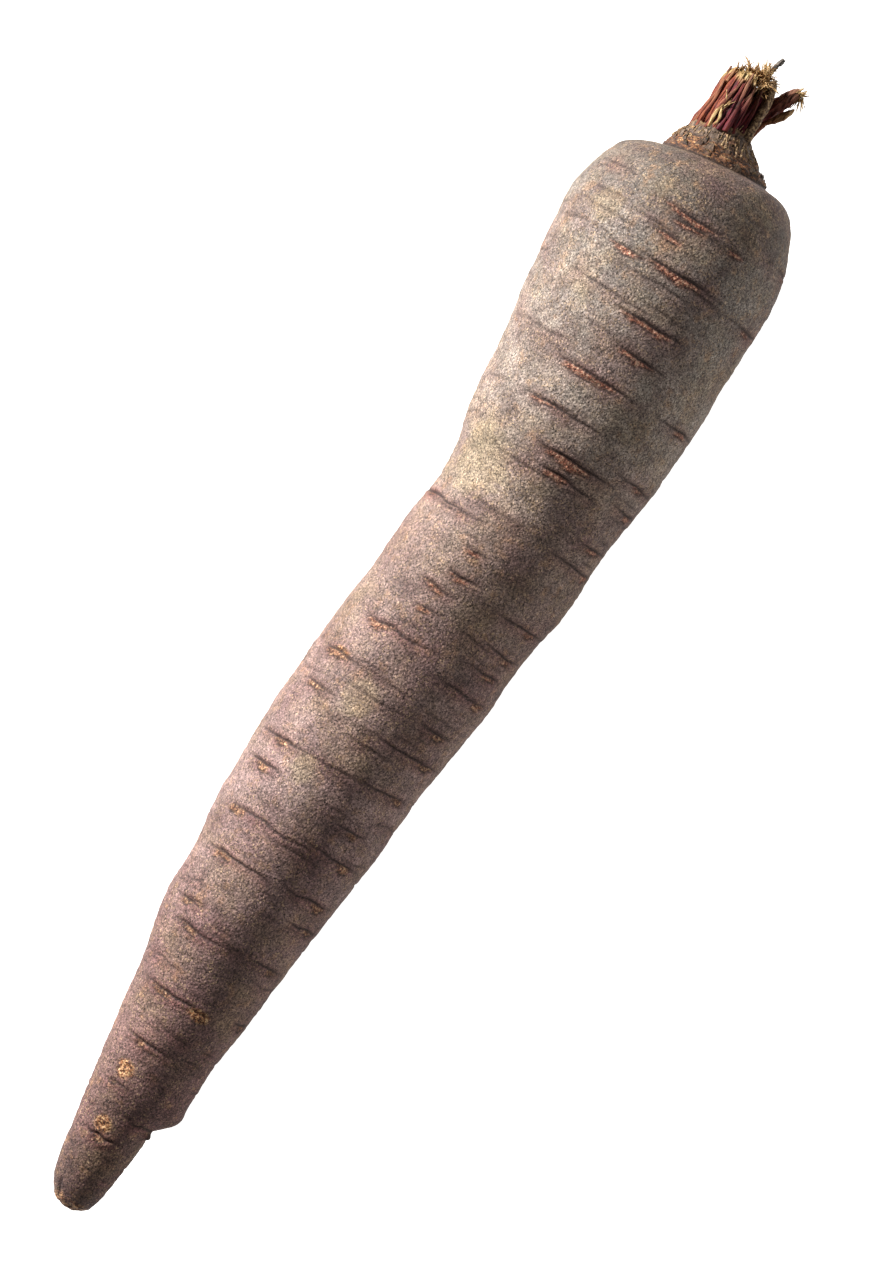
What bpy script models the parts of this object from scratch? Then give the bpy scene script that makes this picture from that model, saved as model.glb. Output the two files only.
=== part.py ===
"""Purple carrot, lying on its side, with the dried stubs of its leaf stalks at the crown.

Frame: +X runs along the root from its tip to its crown and +Z is up. The origin is the middle of
the footprint, on the surface that the root lies on. Everything is in metres.

Inside the model, lengths along the root start at the tip and sideways places start at the straight
line through the root, until an empty shifts the finished carrot to the origin.
"""

import math

import bmesh
import bpy
from mathutils import Vector

# Root
ROOT_LENGTH = 0.2205  # the tip to the foot of the collar
SHOULDER_RADIUS = 0.0213  # the widest place
SHOULDER_HEIGHT = 0.0159  # the widest place to the foot of the collar
FLAT_DEPTH = 0.0004  # how far the underside is pressed flat where it touches the surface
RING_STEP = 0.0029  # between the rings of the root's mesh
RING_SIDES = 36
LOBE_DEPTH = 0.012  # how much the root is out of round, as a share of its radius
TIP_BULGE = 0.2  # how far the very tip stands out, as a share of its radius

# Long soft swellings of the root: how many round it, turns along it, start, share of LOBE_DEPTH
LOBES = (
    (2, 1.3, 0.00, 1.0),
    (3, -2.1, -0.77, 0.7),
)

# Outline of the root: share of the way from the tip to the widest place, share of
# SHOULDER_RADIUS, bow to +Y as a share of SHOULDER_RADIUS
OUTLINE = (
    (0.000, 0.090, -0.060),
    (0.005, 0.165, -0.060),
    (0.016, 0.228, -0.050),
    (0.032, 0.262, -0.035),
    (0.065, 0.302, -0.018),
    (0.097, 0.340, 0.010),
    (0.140, 0.405, 0.012),
    (0.183, 0.485, 0.012),
    (0.226, 0.540, 0.015),
    (0.269, 0.608, 0.055),
    (0.301, 0.638, 0.066),
    (0.333, 0.646, 0.050),
    (0.366, 0.690, 0.064),
    (0.409, 0.723, 0.058),
    (0.484, 0.745, 0.053),
    (0.538, 0.770, 0.010),
    (0.570, 0.776, -0.008),
    (0.624, 0.762, -0.038),
    (0.677, 0.794, -0.080),
    (0.720, 0.770, -0.109),
    (0.753, 0.786, -0.108),
    (0.796, 0.868, -0.075),
    (0.849, 0.907, -0.056),
    (0.892, 0.945, -0.019),
    (0.935, 0.966, 0.021),
    (1.000, 1.000, 0.060),
)

DROOP_LENGTH = 0.080  # the thin end, which sags a little below the straight line of the root
TIP_DROOP = 0.0025

# Knuckle: a step on the -Y side just above the tip
KNUCKLE_START = 0.0200
KNUCKLE_RISE = 0.0040
KNUCKLE_FADE = 0.0160
KNUCKLE_HEIGHT = 0.0023
KNUCKLE_SPREAD = math.radians(52)

# Crown: the rounded shoulder and the scaly collar that narrows to the neck
COLLAR_HEIGHT = 0.0064  # the foot of the collar to the neck
COLLAR_RADIUS = 0.0103
NECK_RADIUS = 0.00535
NECK_OFFSET = 0.0051  # the neck's centre to +Y of the root's straight line
NECK_TILT = 0.345  # rise of the neck's plane to the -Y side

# Rounded shoulder: share of SHOULDER_HEIGHT, share of SHOULDER_RADIUS, share of the bow, tilt
SHOULDER = (
    (0.265, 0.967, 1.00, 0.00),
    (0.490, 0.923, 1.05, 0.00),
    (0.715, 0.840, 1.00, 0.00),
    (0.805, 0.785, 0.95, 0.03),
    (0.900, 0.715, 0.85, 0.07),
    (0.970, 0.630, 0.90, 0.11),
    (1.000, 0.545, 1.30, 0.13),
)

# Collar: share of COLLAR_HEIGHT, share of the way from COLLAR_RADIUS to NECK_RADIUS,
# share of NECK_OFFSET, share of NECK_TILT
COLLAR = (
    (0.000, 0.00, 0.50, 0.43),
    (0.190, 0.13, 0.60, 0.49),
    (0.485, 0.51, 0.82, 0.55),
    (0.780, 0.82, 0.99, 0.70),
    (1.000, 1.00, 1.00, 1.00),
)

# Leaf stalks
GAP = 0.0003  # clearance between neighbouring pieces
STALK_WALL_INNER = 0.0029  # radius of the hollow that the outer stalks leave round the heart
HEART_RADIUS = 0.0014
HEART_HEIGHT = 0.0146
HEART_RIBS = 5
HEART_GROOVE = 0.10  # depth of the grooves between the ribs, as a share of the radius
STALK_LEAN = 0.0004  # drift of the bundle to +Y from neck to top
STALK_NARROWING = 0.12  # how much thinner the outer stalks are at the top
STALK_RINGS = 7
STALK_ARC_STEPS = 6
RIGHT_STALK_RADIUS = 0.0043  # the -Y side of the bundle, which the thin pieces stand beside

# Young leaves in the middle of the bundle: share of HEART_HEIGHT, share of HEART_RADIUS
HEART = (
    (0.00, 0.80),
    (0.10, 0.95),
    (0.45, 1.00),
    (0.80, 0.92),
    (0.95, 0.65),
    (1.00, 0.30),
)

OUTER_STALKS = (
    # name, first and last angle round the neck from +Y over +Z, outer radius, height, top slant
    ("leaf_stalk_left", -22, 62, 0.0051, 0.0121, -0.25),
    ("leaf_stalk_middle", 62, 118, 0.0052, 0.0115, 0.10),
    ("leaf_stalk_right", 118, 176, RIGHT_STALK_RADIUS, 0.0118, -0.10),
    ("leaf_stalk_back_right", 176, 262, 0.0037, 0.0098, -0.15),
    ("leaf_stalk_back_left", 262, 338, 0.0049, 0.0106, 0.10),
)

# Thin pieces. Each point is its height above the neck's centre, how far the piece stands off what
# it runs beside, its angle round the neck from +Y over +Z, and its share of the piece's radius
THIN_STALK_RADIUS = 0.0008
THIN_STALK = (
    (0.0022, 0.0000, 146, 0.98),
    (0.0040, 0.0000, 147, 0.95),
    (0.0064, 0.0000, 147, 0.92),
    (0.0092, -0.0001, 147, 0.88),
    (0.0121, -0.0004, 144, 0.75),
)
BENT_STALK_RADIUS = 0.0012
BENT_STALK = (
    (0.0021, -0.0004, 199, 0.67),
    (0.0048, -0.0004, 196, 0.79),
    (0.0074, -0.0003, 188, 0.93),
    (0.0094, 0.0002, 178, 1.02),
    (0.0116, 0.0012, 173, 0.98),
    (0.0138, 0.0023, 170, 0.83),
)
SHRED_RADIUS = 0.0006
CURLED_SHRED = (
    (0.0024, -0.0021, 171, 0.70),
    (0.0045, -0.0018, 171, 0.73),
    (0.0062, -0.0008, 174, 0.83),
    (0.0080, -0.0001, 177, 1.00),
    (0.0104, 0.0010, 176, 0.75),
)
STUB_RADIUS = 0.5 * (STALK_WALL_INNER - HEART_RADIUS) - GAP
GREY_STUB = (
    (0.0012, 0.0000, 167, 0.84),
    (0.0060, -0.0002, 165, 0.89),
    (0.0110, -0.0002, 162, 0.93),
    (0.0147, 0.0000, 158, 0.98),
    (0.0169, 0.0006, 159, 0.89),
)
SIDE_PIECES = (
    # name, points, radius, radius of what it runs beside, finish
    ("thin_stalk", THIN_STALK, THIN_STALK_RADIUS, RIGHT_STALK_RADIUS, "dry_stalk"),
    ("bent_stalk", BENT_STALK, BENT_STALK_RADIUS, RIGHT_STALK_RADIUS, "red_stalk"),
    (
        "curled_shred",
        CURLED_SHRED,
        SHRED_RADIUS,
        RIGHT_STALK_RADIUS + 2.0 * BENT_STALK_RADIUS,
        "dry_stalk",
    ),
    ("grey_stub", GREY_STUB, STUB_RADIUS, HEART_RADIUS, "dry_stalk"),
)
SIDE_STEP = 0.0012  # between the rings of a thin piece

SHARP_ANGLE = math.radians(50)  # edges that turn more than this stay crisp

MATERIALS = {
    # name: colour (linear RGB), roughness
    "root_skin": ((0.115, 0.075, 0.068), 0.75),
    "red_stalk": ((0.150, 0.030, 0.035), 0.60),
    "dry_stalk": ((0.300, 0.175, 0.085), 0.85),
}


def clear_scene():
    for obj in list(bpy.data.objects):
        bpy.data.objects.remove(obj, do_unlink=True)


def make_material(name):
    colour, roughness = MATERIALS[name]
    material = bpy.data.materials.new(name)
    material.use_nodes = True
    shader = material.node_tree.nodes["Principled BSDF"]
    shader.inputs["Base Color"].default_value = (*colour, 1.0)
    shader.inputs["Roughness"].default_value = roughness
    shader.inputs["Metallic"].default_value = 0.0
    return material


def smooth_step(value):
    value = min(max(value, 0.0), 1.0)
    return value * value * (3.0 - 2.0 * value)


def smooth_rows(rows, step):
    """Rows of numbers along a smooth curve through the given rows, about one step apart.

    The distances between the first two columns of the rows time the curve.
    """
    times = [0.0]
    for before, after in zip(rows, rows[1:]):
        times.append(times[-1] + math.dist(before[:2], after[:2]))
    slopes = []
    for index in range(len(rows)):
        low = max(index - 1, 0)
        high = min(index + 1, len(rows) - 1)
        span = times[high] - times[low]
        slopes.append([(b - a) / span for a, b in zip(rows[low], rows[high])])
    result = []
    for index in range(len(rows) - 1):
        span = times[index + 1] - times[index]
        count = max(1, round(span / step))
        for part in range(count):
            t = part / count
            a = 2 * t**3 - 3 * t**2 + 1
            b = (t**3 - 2 * t**2 + t) * span
            c = 3 * t**2 - 2 * t**3
            d = (t**3 - t**2) * span
            result.append(
                [
                    a * p + b * u + c * q + d * v
                    for p, u, q, v in zip(
                        rows[index], slopes[index], rows[index + 1], slopes[index + 1]
                    )
                ]
            )
    result.append(list(rows[-1]))
    return result


def outline_rows():
    """The whole outline from tip to neck, each row as length, radius, bow to +Y and tilt."""
    shoulder_place = ROOT_LENGTH - SHOULDER_HEIGHT
    rows = [
        [share * shoulder_place, radius * SHOULDER_RADIUS, bow * SHOULDER_RADIUS, 0.0]
        for share, radius, bow in OUTLINE
    ]
    shoulder_bow = rows[-1][2]
    for height, radius, bow, tilt in SHOULDER:
        rows.append(
            [
                shoulder_place + height * SHOULDER_HEIGHT,
                radius * SHOULDER_RADIUS,
                bow * shoulder_bow,
                tilt,
            ]
        )
    for height, way, offset, tilt in COLLAR:
        rows.append(
            [
                ROOT_LENGTH + height * COLLAR_HEIGHT,
                COLLAR_RADIUS + way * (NECK_RADIUS - COLLAR_RADIUS),
                offset * NECK_OFFSET,
                tilt * NECK_TILT,
            ]
        )
    return rows


def sag(place):
    """How far the root's centre lies below the straight line of the root."""
    thin_end = max(0.0, 1.0 - place / DROOP_LENGTH)
    return TIP_DROOP * thin_end**2


def knuckle(place, angle):
    rise = smooth_step((place - KNUCKLE_START) / KNUCKLE_RISE)
    fade = 1.0 - smooth_step((place - KNUCKLE_START - KNUCKLE_RISE) / KNUCKLE_FADE)
    turned = (angle - math.pi) / KNUCKLE_SPREAD
    return KNUCKLE_HEIGHT * rise * fade * math.exp(-turned * turned)


def lobes(place, angle):
    """How far out of round the root is, which fades out at the sides of its outline."""
    turn = place / ROOT_LENGTH * 2.0 * math.pi
    swelling = sum(
        share * math.cos(count * angle + turns * turn + start)
        for count, turns, start, share in LOBES
    )
    return LOBE_DEPTH * math.sin(angle) ** 2 * swelling


def ring_points(place, radius, bow, tilt):
    """One ring of the root's surface, with the straight line of the root at height zero."""
    centre = -sag(place)
    points = []
    for side in range(RING_SIDES):
        angle = 2.0 * math.pi * side / RING_SIDES
        reach = radius * (1.0 + lobes(place, angle)) + knuckle(place, angle)
        across = reach * math.cos(angle)
        points.append(
            Vector((place - tilt * across, bow + across, centre + reach * math.sin(angle)))
        )
    return points


def resting_line(rings):
    """Slope and height of the surface that the root settles on: the edge under its balance point."""
    weights = [sum((p - ring[0]).length_squared for p in ring) for ring in rings]
    places = [ring[0].x for ring in rings]
    balance = sum(w * x for w, x in zip(weights, places)) / sum(weights)
    hull = []
    for ring in rings:
        lowest = min(ring, key=lambda point: point.z)
        point = (lowest.x, lowest.z)
        while len(hull) > 1 and turns_down(hull[-2], hull[-1], point):
            hull.pop()
        hull.append(point)
    for before, after in zip(hull, hull[1:]):
        if before[0] <= balance <= after[0]:
            slope = (after[1] - before[1]) / (after[0] - before[0])
            return slope, before[1] - slope * before[0]
    raise ValueError("the root has no place to rest on under its balance point")


def turns_down(first, second, third):
    """True if the middle point lies on or above the line between the other two."""
    run = (second[0] - first[0]) * (third[1] - first[1])
    rise = (second[1] - first[1]) * (third[0] - first[0])
    return run <= rise


def bridge_rings(mesh, rings):
    for before, after in zip(rings, rings[1:]):
        sides = len(before)
        for side in range(sides):
            ahead = (side + 1) % sides
            mesh.faces.new((before[side], before[ahead], after[ahead], after[side]))


def finish_mesh(mesh, name, material):
    """Turn a closed bmesh into a smooth-shaded object with its faces pointing out."""
    bmesh.ops.triangulate(mesh, faces=[f for f in mesh.faces if len(f.verts) > 4])
    bmesh.ops.recalc_face_normals(mesh, faces=mesh.faces)
    data = bpy.data.meshes.new(name)
    mesh.to_mesh(data)
    mesh.free()
    data.materials.append(material)
    data.shade_smooth()
    data.set_sharp_from_angle(angle=SHARP_ANGLE)
    obj = bpy.data.objects.new(name, data)
    bpy.context.collection.objects.link(obj)
    return obj


def make_taproot(rings, rest, material):
    """The root and its collar in one solid, pressed flat where it touches the surface."""
    slope, height = rest
    mesh = bmesh.new()
    rows = []
    for ring in rings:
        for point in ring:
            point.z = max(0.0, point.z - slope * point.x - height - FLAT_DEPTH)
        rows.append([mesh.verts.new(point) for point in ring])
    bridge_rings(mesh, rows)
    for end, toward in ((rows[0], -1), (rows[-1], 0)):
        middle = sum((vert.co for vert in end), Vector()) / len(end)
        middle.x += toward * TIP_BULGE * OUTLINE[0][1] * SHOULDER_RADIUS
        hub = mesh.verts.new(middle)
        for side, vert in enumerate(end):
            mesh.faces.new((vert, end[(side + 1) % len(end)], hub))
    return finish_mesh(mesh, "taproot", material)


def neck_centre(rest):
    slope, height = rest
    place = ROOT_LENGTH + COLLAR_HEIGHT
    return Vector((place, NECK_OFFSET, -slope * place - height - FLAT_DEPTH))


def stalk_section(first, last, inner, outer):
    """Corners of one stalk's section: a slice of a ring with an even gap to its neighbours."""
    corners = []
    for radius, order in ((outer, 1), (inner, -1)):
        margin = 0.5 * GAP / radius
        start = math.radians(first) + margin
        span = math.radians(last - first) - 2.0 * margin
        steps = range(STALK_ARC_STEPS + 1)
        for step in list(steps)[::order]:
            angle = start + span * step / STALK_ARC_STEPS
            corners.append((radius * math.cos(angle), radius * math.sin(angle)))
    return corners


def make_outer_stalk(row, base, material):
    name, first, last, outer, height, slant = row
    mesh = bmesh.new()
    rings = []
    for ring in range(STALK_RINGS):
        share = ring / (STALK_RINGS - 1)
        narrowing = 1.0 - STALK_NARROWING * share**2
        section = stalk_section(first, last, STALK_WALL_INNER, outer * narrowing)
        tilt = -NECK_TILT * (1.0 - share) + slant * share
        points = []
        for across, up in section:
            along = GAP + (height - GAP) * share + tilt * across
            place = base + Vector((along, across + STALK_LEAN * share, up))
            points.append(mesh.verts.new(place))
        rings.append(points)
    bridge_rings(mesh, rings)
    mesh.faces.new(rings[0])
    mesh.faces.new(rings[-1])
    return finish_mesh(mesh, name, material)


def make_heart(base, material):
    """The young leaves in the middle of the bundle: a ribbed core with a rounded top."""
    mesh = bmesh.new()
    rings = []
    for share, width in HEART:
        points = []
        for side in range(4 * HEART_RIBS):
            angle = 2.0 * math.pi * side / (4 * HEART_RIBS)
            groove = HEART_GROOVE if side % 4 == 0 else 0.0
            reach = HEART_RADIUS * width * (1.0 - groove)
            across = reach * math.cos(angle)
            along = GAP + (HEART_HEIGHT - GAP) * share - NECK_TILT * across * (1.0 - share)
            lean = STALK_LEAN * share
            place = base + Vector((along, across + lean, reach * math.sin(angle)))
            points.append(mesh.verts.new(place))
        rings.append(points)
    bridge_rings(mesh, rings)
    mesh.faces.new(rings[0])
    mesh.faces.new(rings[-1])
    return finish_mesh(mesh, "heart_stalks", material)


def side_place(height, angle, reach, base):
    """A place beside the bundle, at an angle round the neck and a distance from its middle."""
    turned = math.radians(angle)
    return base + Vector((height, reach * math.cos(turned), reach * math.sin(turned)))


def make_side_piece(row, base, material):
    """A thin stalk or shred: a round-sectioned curve that thickens and tapers along its points."""
    name, rows, radius, beside, _ = row
    data = bpy.data.curves.new(name, "CURVE")
    data.dimensions = "3D"
    data.bevel_depth = 1.0
    data.bevel_resolution = 2
    data.use_fill_caps = True
    knots = []
    for height, standoff, angle, share in rows:
        reach = beside + GAP + standoff + share * radius
        knots.append((*side_place(height, angle, reach, base), share * radius))
    points = smooth_rows(knots, SIDE_STEP)
    spline = data.splines.new("POLY")
    spline.points.add(len(points) - 1)
    for point, (x, y, z, thickness) in zip(spline.points, points):
        point.co = (x, y, z, 1.0)
        point.radius = thickness
    data.materials.append(material)
    obj = bpy.data.objects.new(name, data)
    bpy.context.collection.objects.link(obj)
    return obj


def world_box(objects):
    """Lowest and highest corners of the evaluated objects."""
    bpy.context.view_layer.update()
    graph = bpy.context.evaluated_depsgraph_get()
    places = []
    for obj in objects:
        seen = obj.evaluated_get(graph)
        data = seen.to_mesh()
        places += [obj.matrix_world @ vert.co for vert in data.vertices]
        seen.to_mesh_clear()
    low = [min(place[axis] for place in places) for axis in range(3)]
    high = [max(place[axis] for place in places) for axis in range(3)]
    return low, high


def main():
    clear_scene()
    materials = {name: make_material(name) for name in MATERIALS}
    rings = [ring_points(*row) for row in smooth_rows(outline_rows(), RING_STEP)]
    rest = resting_line(rings)
    base = neck_centre(rest)
    pieces = [make_taproot(rings, rest, materials["root_skin"])]
    for row in OUTER_STALKS:
        pieces.append(make_outer_stalk(row, base, materials["red_stalk"]))
    pieces.append(make_heart(base, materials["dry_stalk"]))
    for row in SIDE_PIECES:
        pieces.append(make_side_piece(row, base, materials[row[-1]]))
    low, high = world_box(pieces)
    carrot = bpy.data.objects.new("carrot", None)
    bpy.context.collection.objects.link(carrot)
    carrot.location = (-0.5 * (low[0] + high[0]), -0.5 * (low[1] + high[1]), 0.0)
    for piece in pieces:
        piece.parent = carrot


main()
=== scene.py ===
"""Looks of a purple carrot that lies on its side, with the dried stubs of its leaf stalks.

Frame: +X runs along the root from its tip to its crown and +Z is up, in metres. Angles go round
the root from +Y over +Z. Places along the root are millimetres from its tip.
"""

import math
import random

import bmesh
import bpy
import numpy as np
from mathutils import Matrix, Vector, noise
from mathutils.bvhtree import BVHTree


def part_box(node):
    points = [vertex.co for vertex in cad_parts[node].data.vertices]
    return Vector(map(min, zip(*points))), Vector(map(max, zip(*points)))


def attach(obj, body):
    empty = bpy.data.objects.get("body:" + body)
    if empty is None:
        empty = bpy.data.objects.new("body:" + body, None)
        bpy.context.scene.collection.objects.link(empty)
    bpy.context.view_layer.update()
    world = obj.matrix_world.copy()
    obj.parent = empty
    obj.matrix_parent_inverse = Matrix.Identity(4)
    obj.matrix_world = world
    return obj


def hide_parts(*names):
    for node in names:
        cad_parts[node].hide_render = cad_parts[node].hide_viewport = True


bl_info = {
    "name": "Purple Carrot",
    "version": (1, 0, 0),
    "blender": (4, 5, 0),
    "location": "3D View > Sidebar > Carrot",
    "description": "Skin, collar, dried leaf stalks and studio of a purple carrot",
    "category": "Object",
}

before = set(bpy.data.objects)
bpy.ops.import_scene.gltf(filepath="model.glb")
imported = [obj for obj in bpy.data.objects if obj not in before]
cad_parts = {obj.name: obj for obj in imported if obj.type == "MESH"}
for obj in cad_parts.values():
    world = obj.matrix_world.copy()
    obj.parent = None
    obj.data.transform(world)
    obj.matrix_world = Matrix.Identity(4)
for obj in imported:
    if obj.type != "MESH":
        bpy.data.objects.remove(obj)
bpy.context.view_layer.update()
ROOT_LOW, ROOT_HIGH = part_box("taproot")
HEART_LOW, HEART_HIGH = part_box("heart_stalks")

MM = 0.001

# Root skin
SKIN_SIDES = 92
RING_STEP = 0.242 * MM
TRACE_SIDES = 72
TRACE_STEP = 1.2 * MM
ROUND_WAVES = 8  # the finest swelling round the root that is kept from the traced shape
TIP_PIVOT = 3.5 * MM  # from the tip, where the rays that trace its round end start
CROWN_PIVOT = 205.0 * MM  # from the tip, where the rays that trace the crown start
LAST_CROWN_ANGLE = 3.0

# Collar and neck
NECK = Vector((HEART_LOW.x, 0.5 * (HEART_LOW.y + HEART_HIGH.y), 0.5 * (HEART_LOW.z + HEART_HIGH.z)))
COLLAR_HEIGHT = 6.3 * MM
COLLAR_TILT = 0.16

# Scars where rootlets grew. Each is its place, first and last angle of its crease, first and last
# angle of its cork, thickness of the cork in mm and depth of the crease in mm
SCARS = (
    (210.0, 70, 112, 76, 104, 1.3, 0.22),
    (208.0, 78, 108, 83, 99, 1.0, 0.18),
    (205.0, 74, 98, 79, 93, 1.3, 0.20),
    (200.0, 72, 128, 84, 113, 1.6, 0.30),
    (199.0, 56, 84, 62, 79, 1.2, 0.12),
    (209.0, 112, 126, 116, 122, 1.2, 0.18),
    (190.0, 76, 122, 84, 113, 1.4, 0.28),
    (184.0, 86, 122, 91, 111, 1.3, 0.24),
    (177.0, 60, 122, 66, 100, 1.4, 0.30),
    (169.0, 50, 112, 60, 76, 0.9, 0.24),
    (162.5, 70, 136, 82, 112, 1.7, 0.38),
    (159.0, 78, 128, 87, 105, 1.4, 0.34),
    (145.0, -30, 84, 14, 26, 0.7, 0.55),
    (140.0, 70, 92, 76, 85, 1.0, 0.18),
    (135.0, 70, 98, 77, 90, 1.3, 0.22),
    (131.0, 60, 92, 66, 80, 1.3, 0.22),
    (127.0, 66, 88, 71, 82, 1.2, 0.16),
    (120.5, 40, 102, 48, 68, 1.4, 0.32),
    (112.0, 24, 70, 34, 52, 1.7, 0.22),
    (105.0, 26, 66, 36, 52, 1.4, 0.20),
    (211.0, 150, 180, 162, 168, 1.2, 0.26),
    (199.0, 142, 180, 150, 159, 1.2, 0.28),
    (177.5, 126, 180, 146, 160, 1.3, 0.30),
    (165.0, 122, 176, 142, 154, 1.0, 0.24),
    (160.0, 132, 182, 153, 164, 1.3, 0.30),
    (151.5, 126, 178, 143, 157, 1.2, 0.24),
    (147.0, 112, 180, 154, 167, 1.3, 0.28),
    (133.0, 110, 172, 142, 156, 1.2, 0.30),
    (127.0, 118, 168, 140, 152, 1.2, 0.24),
    (122.5, 116, 160, 136, 148, 1.2, 0.24),
    (117.5, 104, 162, 142, 154, 1.3, 0.30),
    (109.0, 116, 152, 130, 142, 1.2, 0.24),
    (103.0, 88, 172, 140, 154, 1.4, 0.34),
    (95.0, 102, 162, 140, 152, 1.3, 0.30),
    (86.0, 108, 142, 122, 133, 1.3, 0.24),
    (80.0, 92, 168, 132, 148, 1.6, 0.34),
    (71.5, 100, 166, 134, 152, 1.6, 0.34),
    (66.5, 122, 176, 146, 158, 1.2, 0.26),
    (57.0, 112, 164, 138, 150, 1.2, 0.26),
    (93.5, 16, 74, 42, 55, 1.4, 0.32),
    (88.0, 20, 66, 38, 50, 1.7, 0.34),
    (79.0, 30, 112, 36, 54, 1.6, 0.34),
    (70.7, 28, 104, 44, 60, 1.7, 0.40),
    (60.0, 30, 66, 40, 52, 1.3, 0.24),
    (56.0, 40, 92, 54, 70, 1.3, 0.26),
    (44.0, 28, 124, 50, 74, 1.4, 0.40),
    (45.7, 136, 180, 152, 164, 1.2, 0.28),
    (34.0, 44, 110, 60, 74, 1.2, 0.34),
    (25.0, 40, 88, 52, 62, 0.7, 0.18),
    (15.0, 46, 122, 72, 94, 1.2, 0.40),
    (20.3, 96, 190, 150, 160, 0.7, 0.34),
)

# Corky spots: place, angle, radius in mm along and round the root
GOLD_SPOTS = (
    (28.0, 63, 2.1, 2.1),
    (17.4, 79, 1.7, 2.1),
    (43.4, 106, 1.4, 2.6),
    (112.0, 46, 1.2, 2.6),
)

# Places where the skin is paler: place, angle, radius in mm along and round the root
PALE_SPOTS = (
    (204.0, 48, 4.0, 4.0),
    (154.0, 46, 8.0, 8.0),
    (107.0, 77, 4.5, 4.0),
    (91.0, 73, 3.5, 3.0),
)

EXTRA_CREASES = 170
HIDDEN_SCARS = 46
HIDDEN_FIRST = 190
HIDDEN_LAST = 350

# Profile of a scar across its line, in mm
SCAR_REACH = 5.0
DEEP_CREASE = 0.4
FINE_CREASE = 0.22  # depth of a crease away from its cork
CREASE_WIDTH = 0.27
CORK_CREASE = 0.06  # how much wider the crease is at its cork
RIDGE_PLACE, RIDGE_WIDTH = 0.75, 0.45  # skin pushed up on the crown's side
BROW_PLACE, BROW_WIDTH = -0.5, 0.4  # skin pushed up on the tip's side of the cork
BLUSH_PLACE, BLUSH_WIDTH = -0.5, 1.5
CORK_EDGE = 0.22
LEAST_CORK = 0.15

# Uneven growth: height in mm, grain size in mm along and across the root, seed
UNEVENNESS = ((0.20, (7.0, 18.0, 18.0), 1), (0.14, (3.2, 10.0, 10.0), 2))

# Swellings near the tip: place and half length in mm, angle and half width in degrees, height in mm
SWELLINGS = (
    (24.4, 2.3, 180.0, 34.0, 0.8),  # knuckle
    (19.7, 1.2, 182.0, 24.0, -0.45),  # notch below it
    (19.7, 1.8, 128.0, 24.0, 0.35),  # shelf beside the notch
)
WART_PLACE, WART_ANGLE, WART_HEIGHT = 19.2, 158.0, 0.9
SCAB_LENGTH, SCAB_HEIGHT = 2.6, 0.35  # rough scab at the tip
CRACK_ANGLE, CRACK_DEPTH = 50.0, 0.3  # crack beside the scab
SPOT_HEIGHT = 0.25
CORK_HEIGHT = 0.20
COLLAR_GROOVE = 0.30

# Papery scales of the collar: rows, scales in a row, lean in degrees of the first row and step
SCALE_ROWS = 6
ROW_SCALES = 15
FIRST_LEAN, LEAN_STEP = 31.5, 2.9
SCALE_THICKNESS = 0.09 * MM

# Noise in the skin: name, grain size in mm, seed, detail, roughness, where the noise starts to show
# and where it shows in full, and how much shows then
SKIN_NOISE = (
    ("ochre", 9.0, 1.0, 4.0, 0.60, 0.50, 0.68, 0.42),
    ("wine", 12.0, 4.0, 4.0, 0.60, 0.46, 0.62, 0.50),
    ("olive", 7.0, 9.0, 4.0, 0.60, 0.50, 0.66, 0.30),
    ("umber", 4.5, 14.0, 4.0, 0.60, 0.50, 0.66, 0.50),
    ("rust", 2.4, 15.0, 4.0, 0.60, 0.56, 0.68, 0.40),
    ("dust", 3.0, 3.0, 5.0, 0.70, 0.44, 0.60, 1.00),
    ("cloud", 1.6, 12.0, 5.0, 0.75, 0.30, 0.70, 1.00),
    ("broad", 6.5, 13.0, 3.0, 0.60, 0.32, 0.68, 1.00),
    ("cork_noise", 0.5, 5.0, 2.0, 0.60, 0.30, 0.70, 1.00),
    ("gold_noise", 0.45, 6.0, 2.0, 0.60, 0.30, 0.70, 1.00),
)

# Marks cut into the skin's mesh, and how much of each one's colour shows
SKIN_MARKS = (
    ("pale", 0.38),
    ("blush", 0.55),
    ("gold", 0.90),
    ("tip", 0.75),
    ("collar", 1.00),
    ("calm", 0.80),
    ("cork", 0.95),
    ("crease_shade_and_dark_wart", 1.00),
    ("pigment_and_painted_shade_streak", 0.38),
)

# Size in mm of the cork layer's grains, which are really about 0.1 mm and too fine to show: they are
# drawn as coarse as they need to be to show
GRAIN_SIZE = 0.22
PEBBLE_SIZE = 0.5  # mm, of the pebbles that the grains make up

# Weathered stalks: name of the material, colours from the deepest fleck to the palest, dry colour
WEATHERED_BROWN = (
    "Thin leaf stalk, weathered brown",
    ("#21160f", "#5d4432", "#8a6c4e", "#cfb588"),
    "#a5875a",
)
WEATHERED_GREY = (
    "Leaf stalk, weathered grey",
    ("#171412", "#38312b", "#5c5249", "#94897a"),
    "#625a50",
)

# Outer leaf stalks: CAD node, first and last angle, outer radius in mm, ribs, share of copper,
# twist in degrees
OUTER_STALKS = (
    ("leaf_stalk_left", -30, 62, 4.75, 6, 0.80, 12),
    ("leaf_stalk_middle", 56, 120, 5.55, 5, 0.30, -9),
    ("leaf_stalk_right", 114, 180, 4.80, 5, 0.05, 6),
    ("leaf_stalk_back_right", 172, 266, 4.15, 6, 0.10, -8),
    ("leaf_stalk_back_left", 258, 336, 5.05, 6, 0.45, 8),
)

STALK_ROWS = 72  # along an outer stalk
RIB_SIDES = 15
INNER_SIDES = 20

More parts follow.
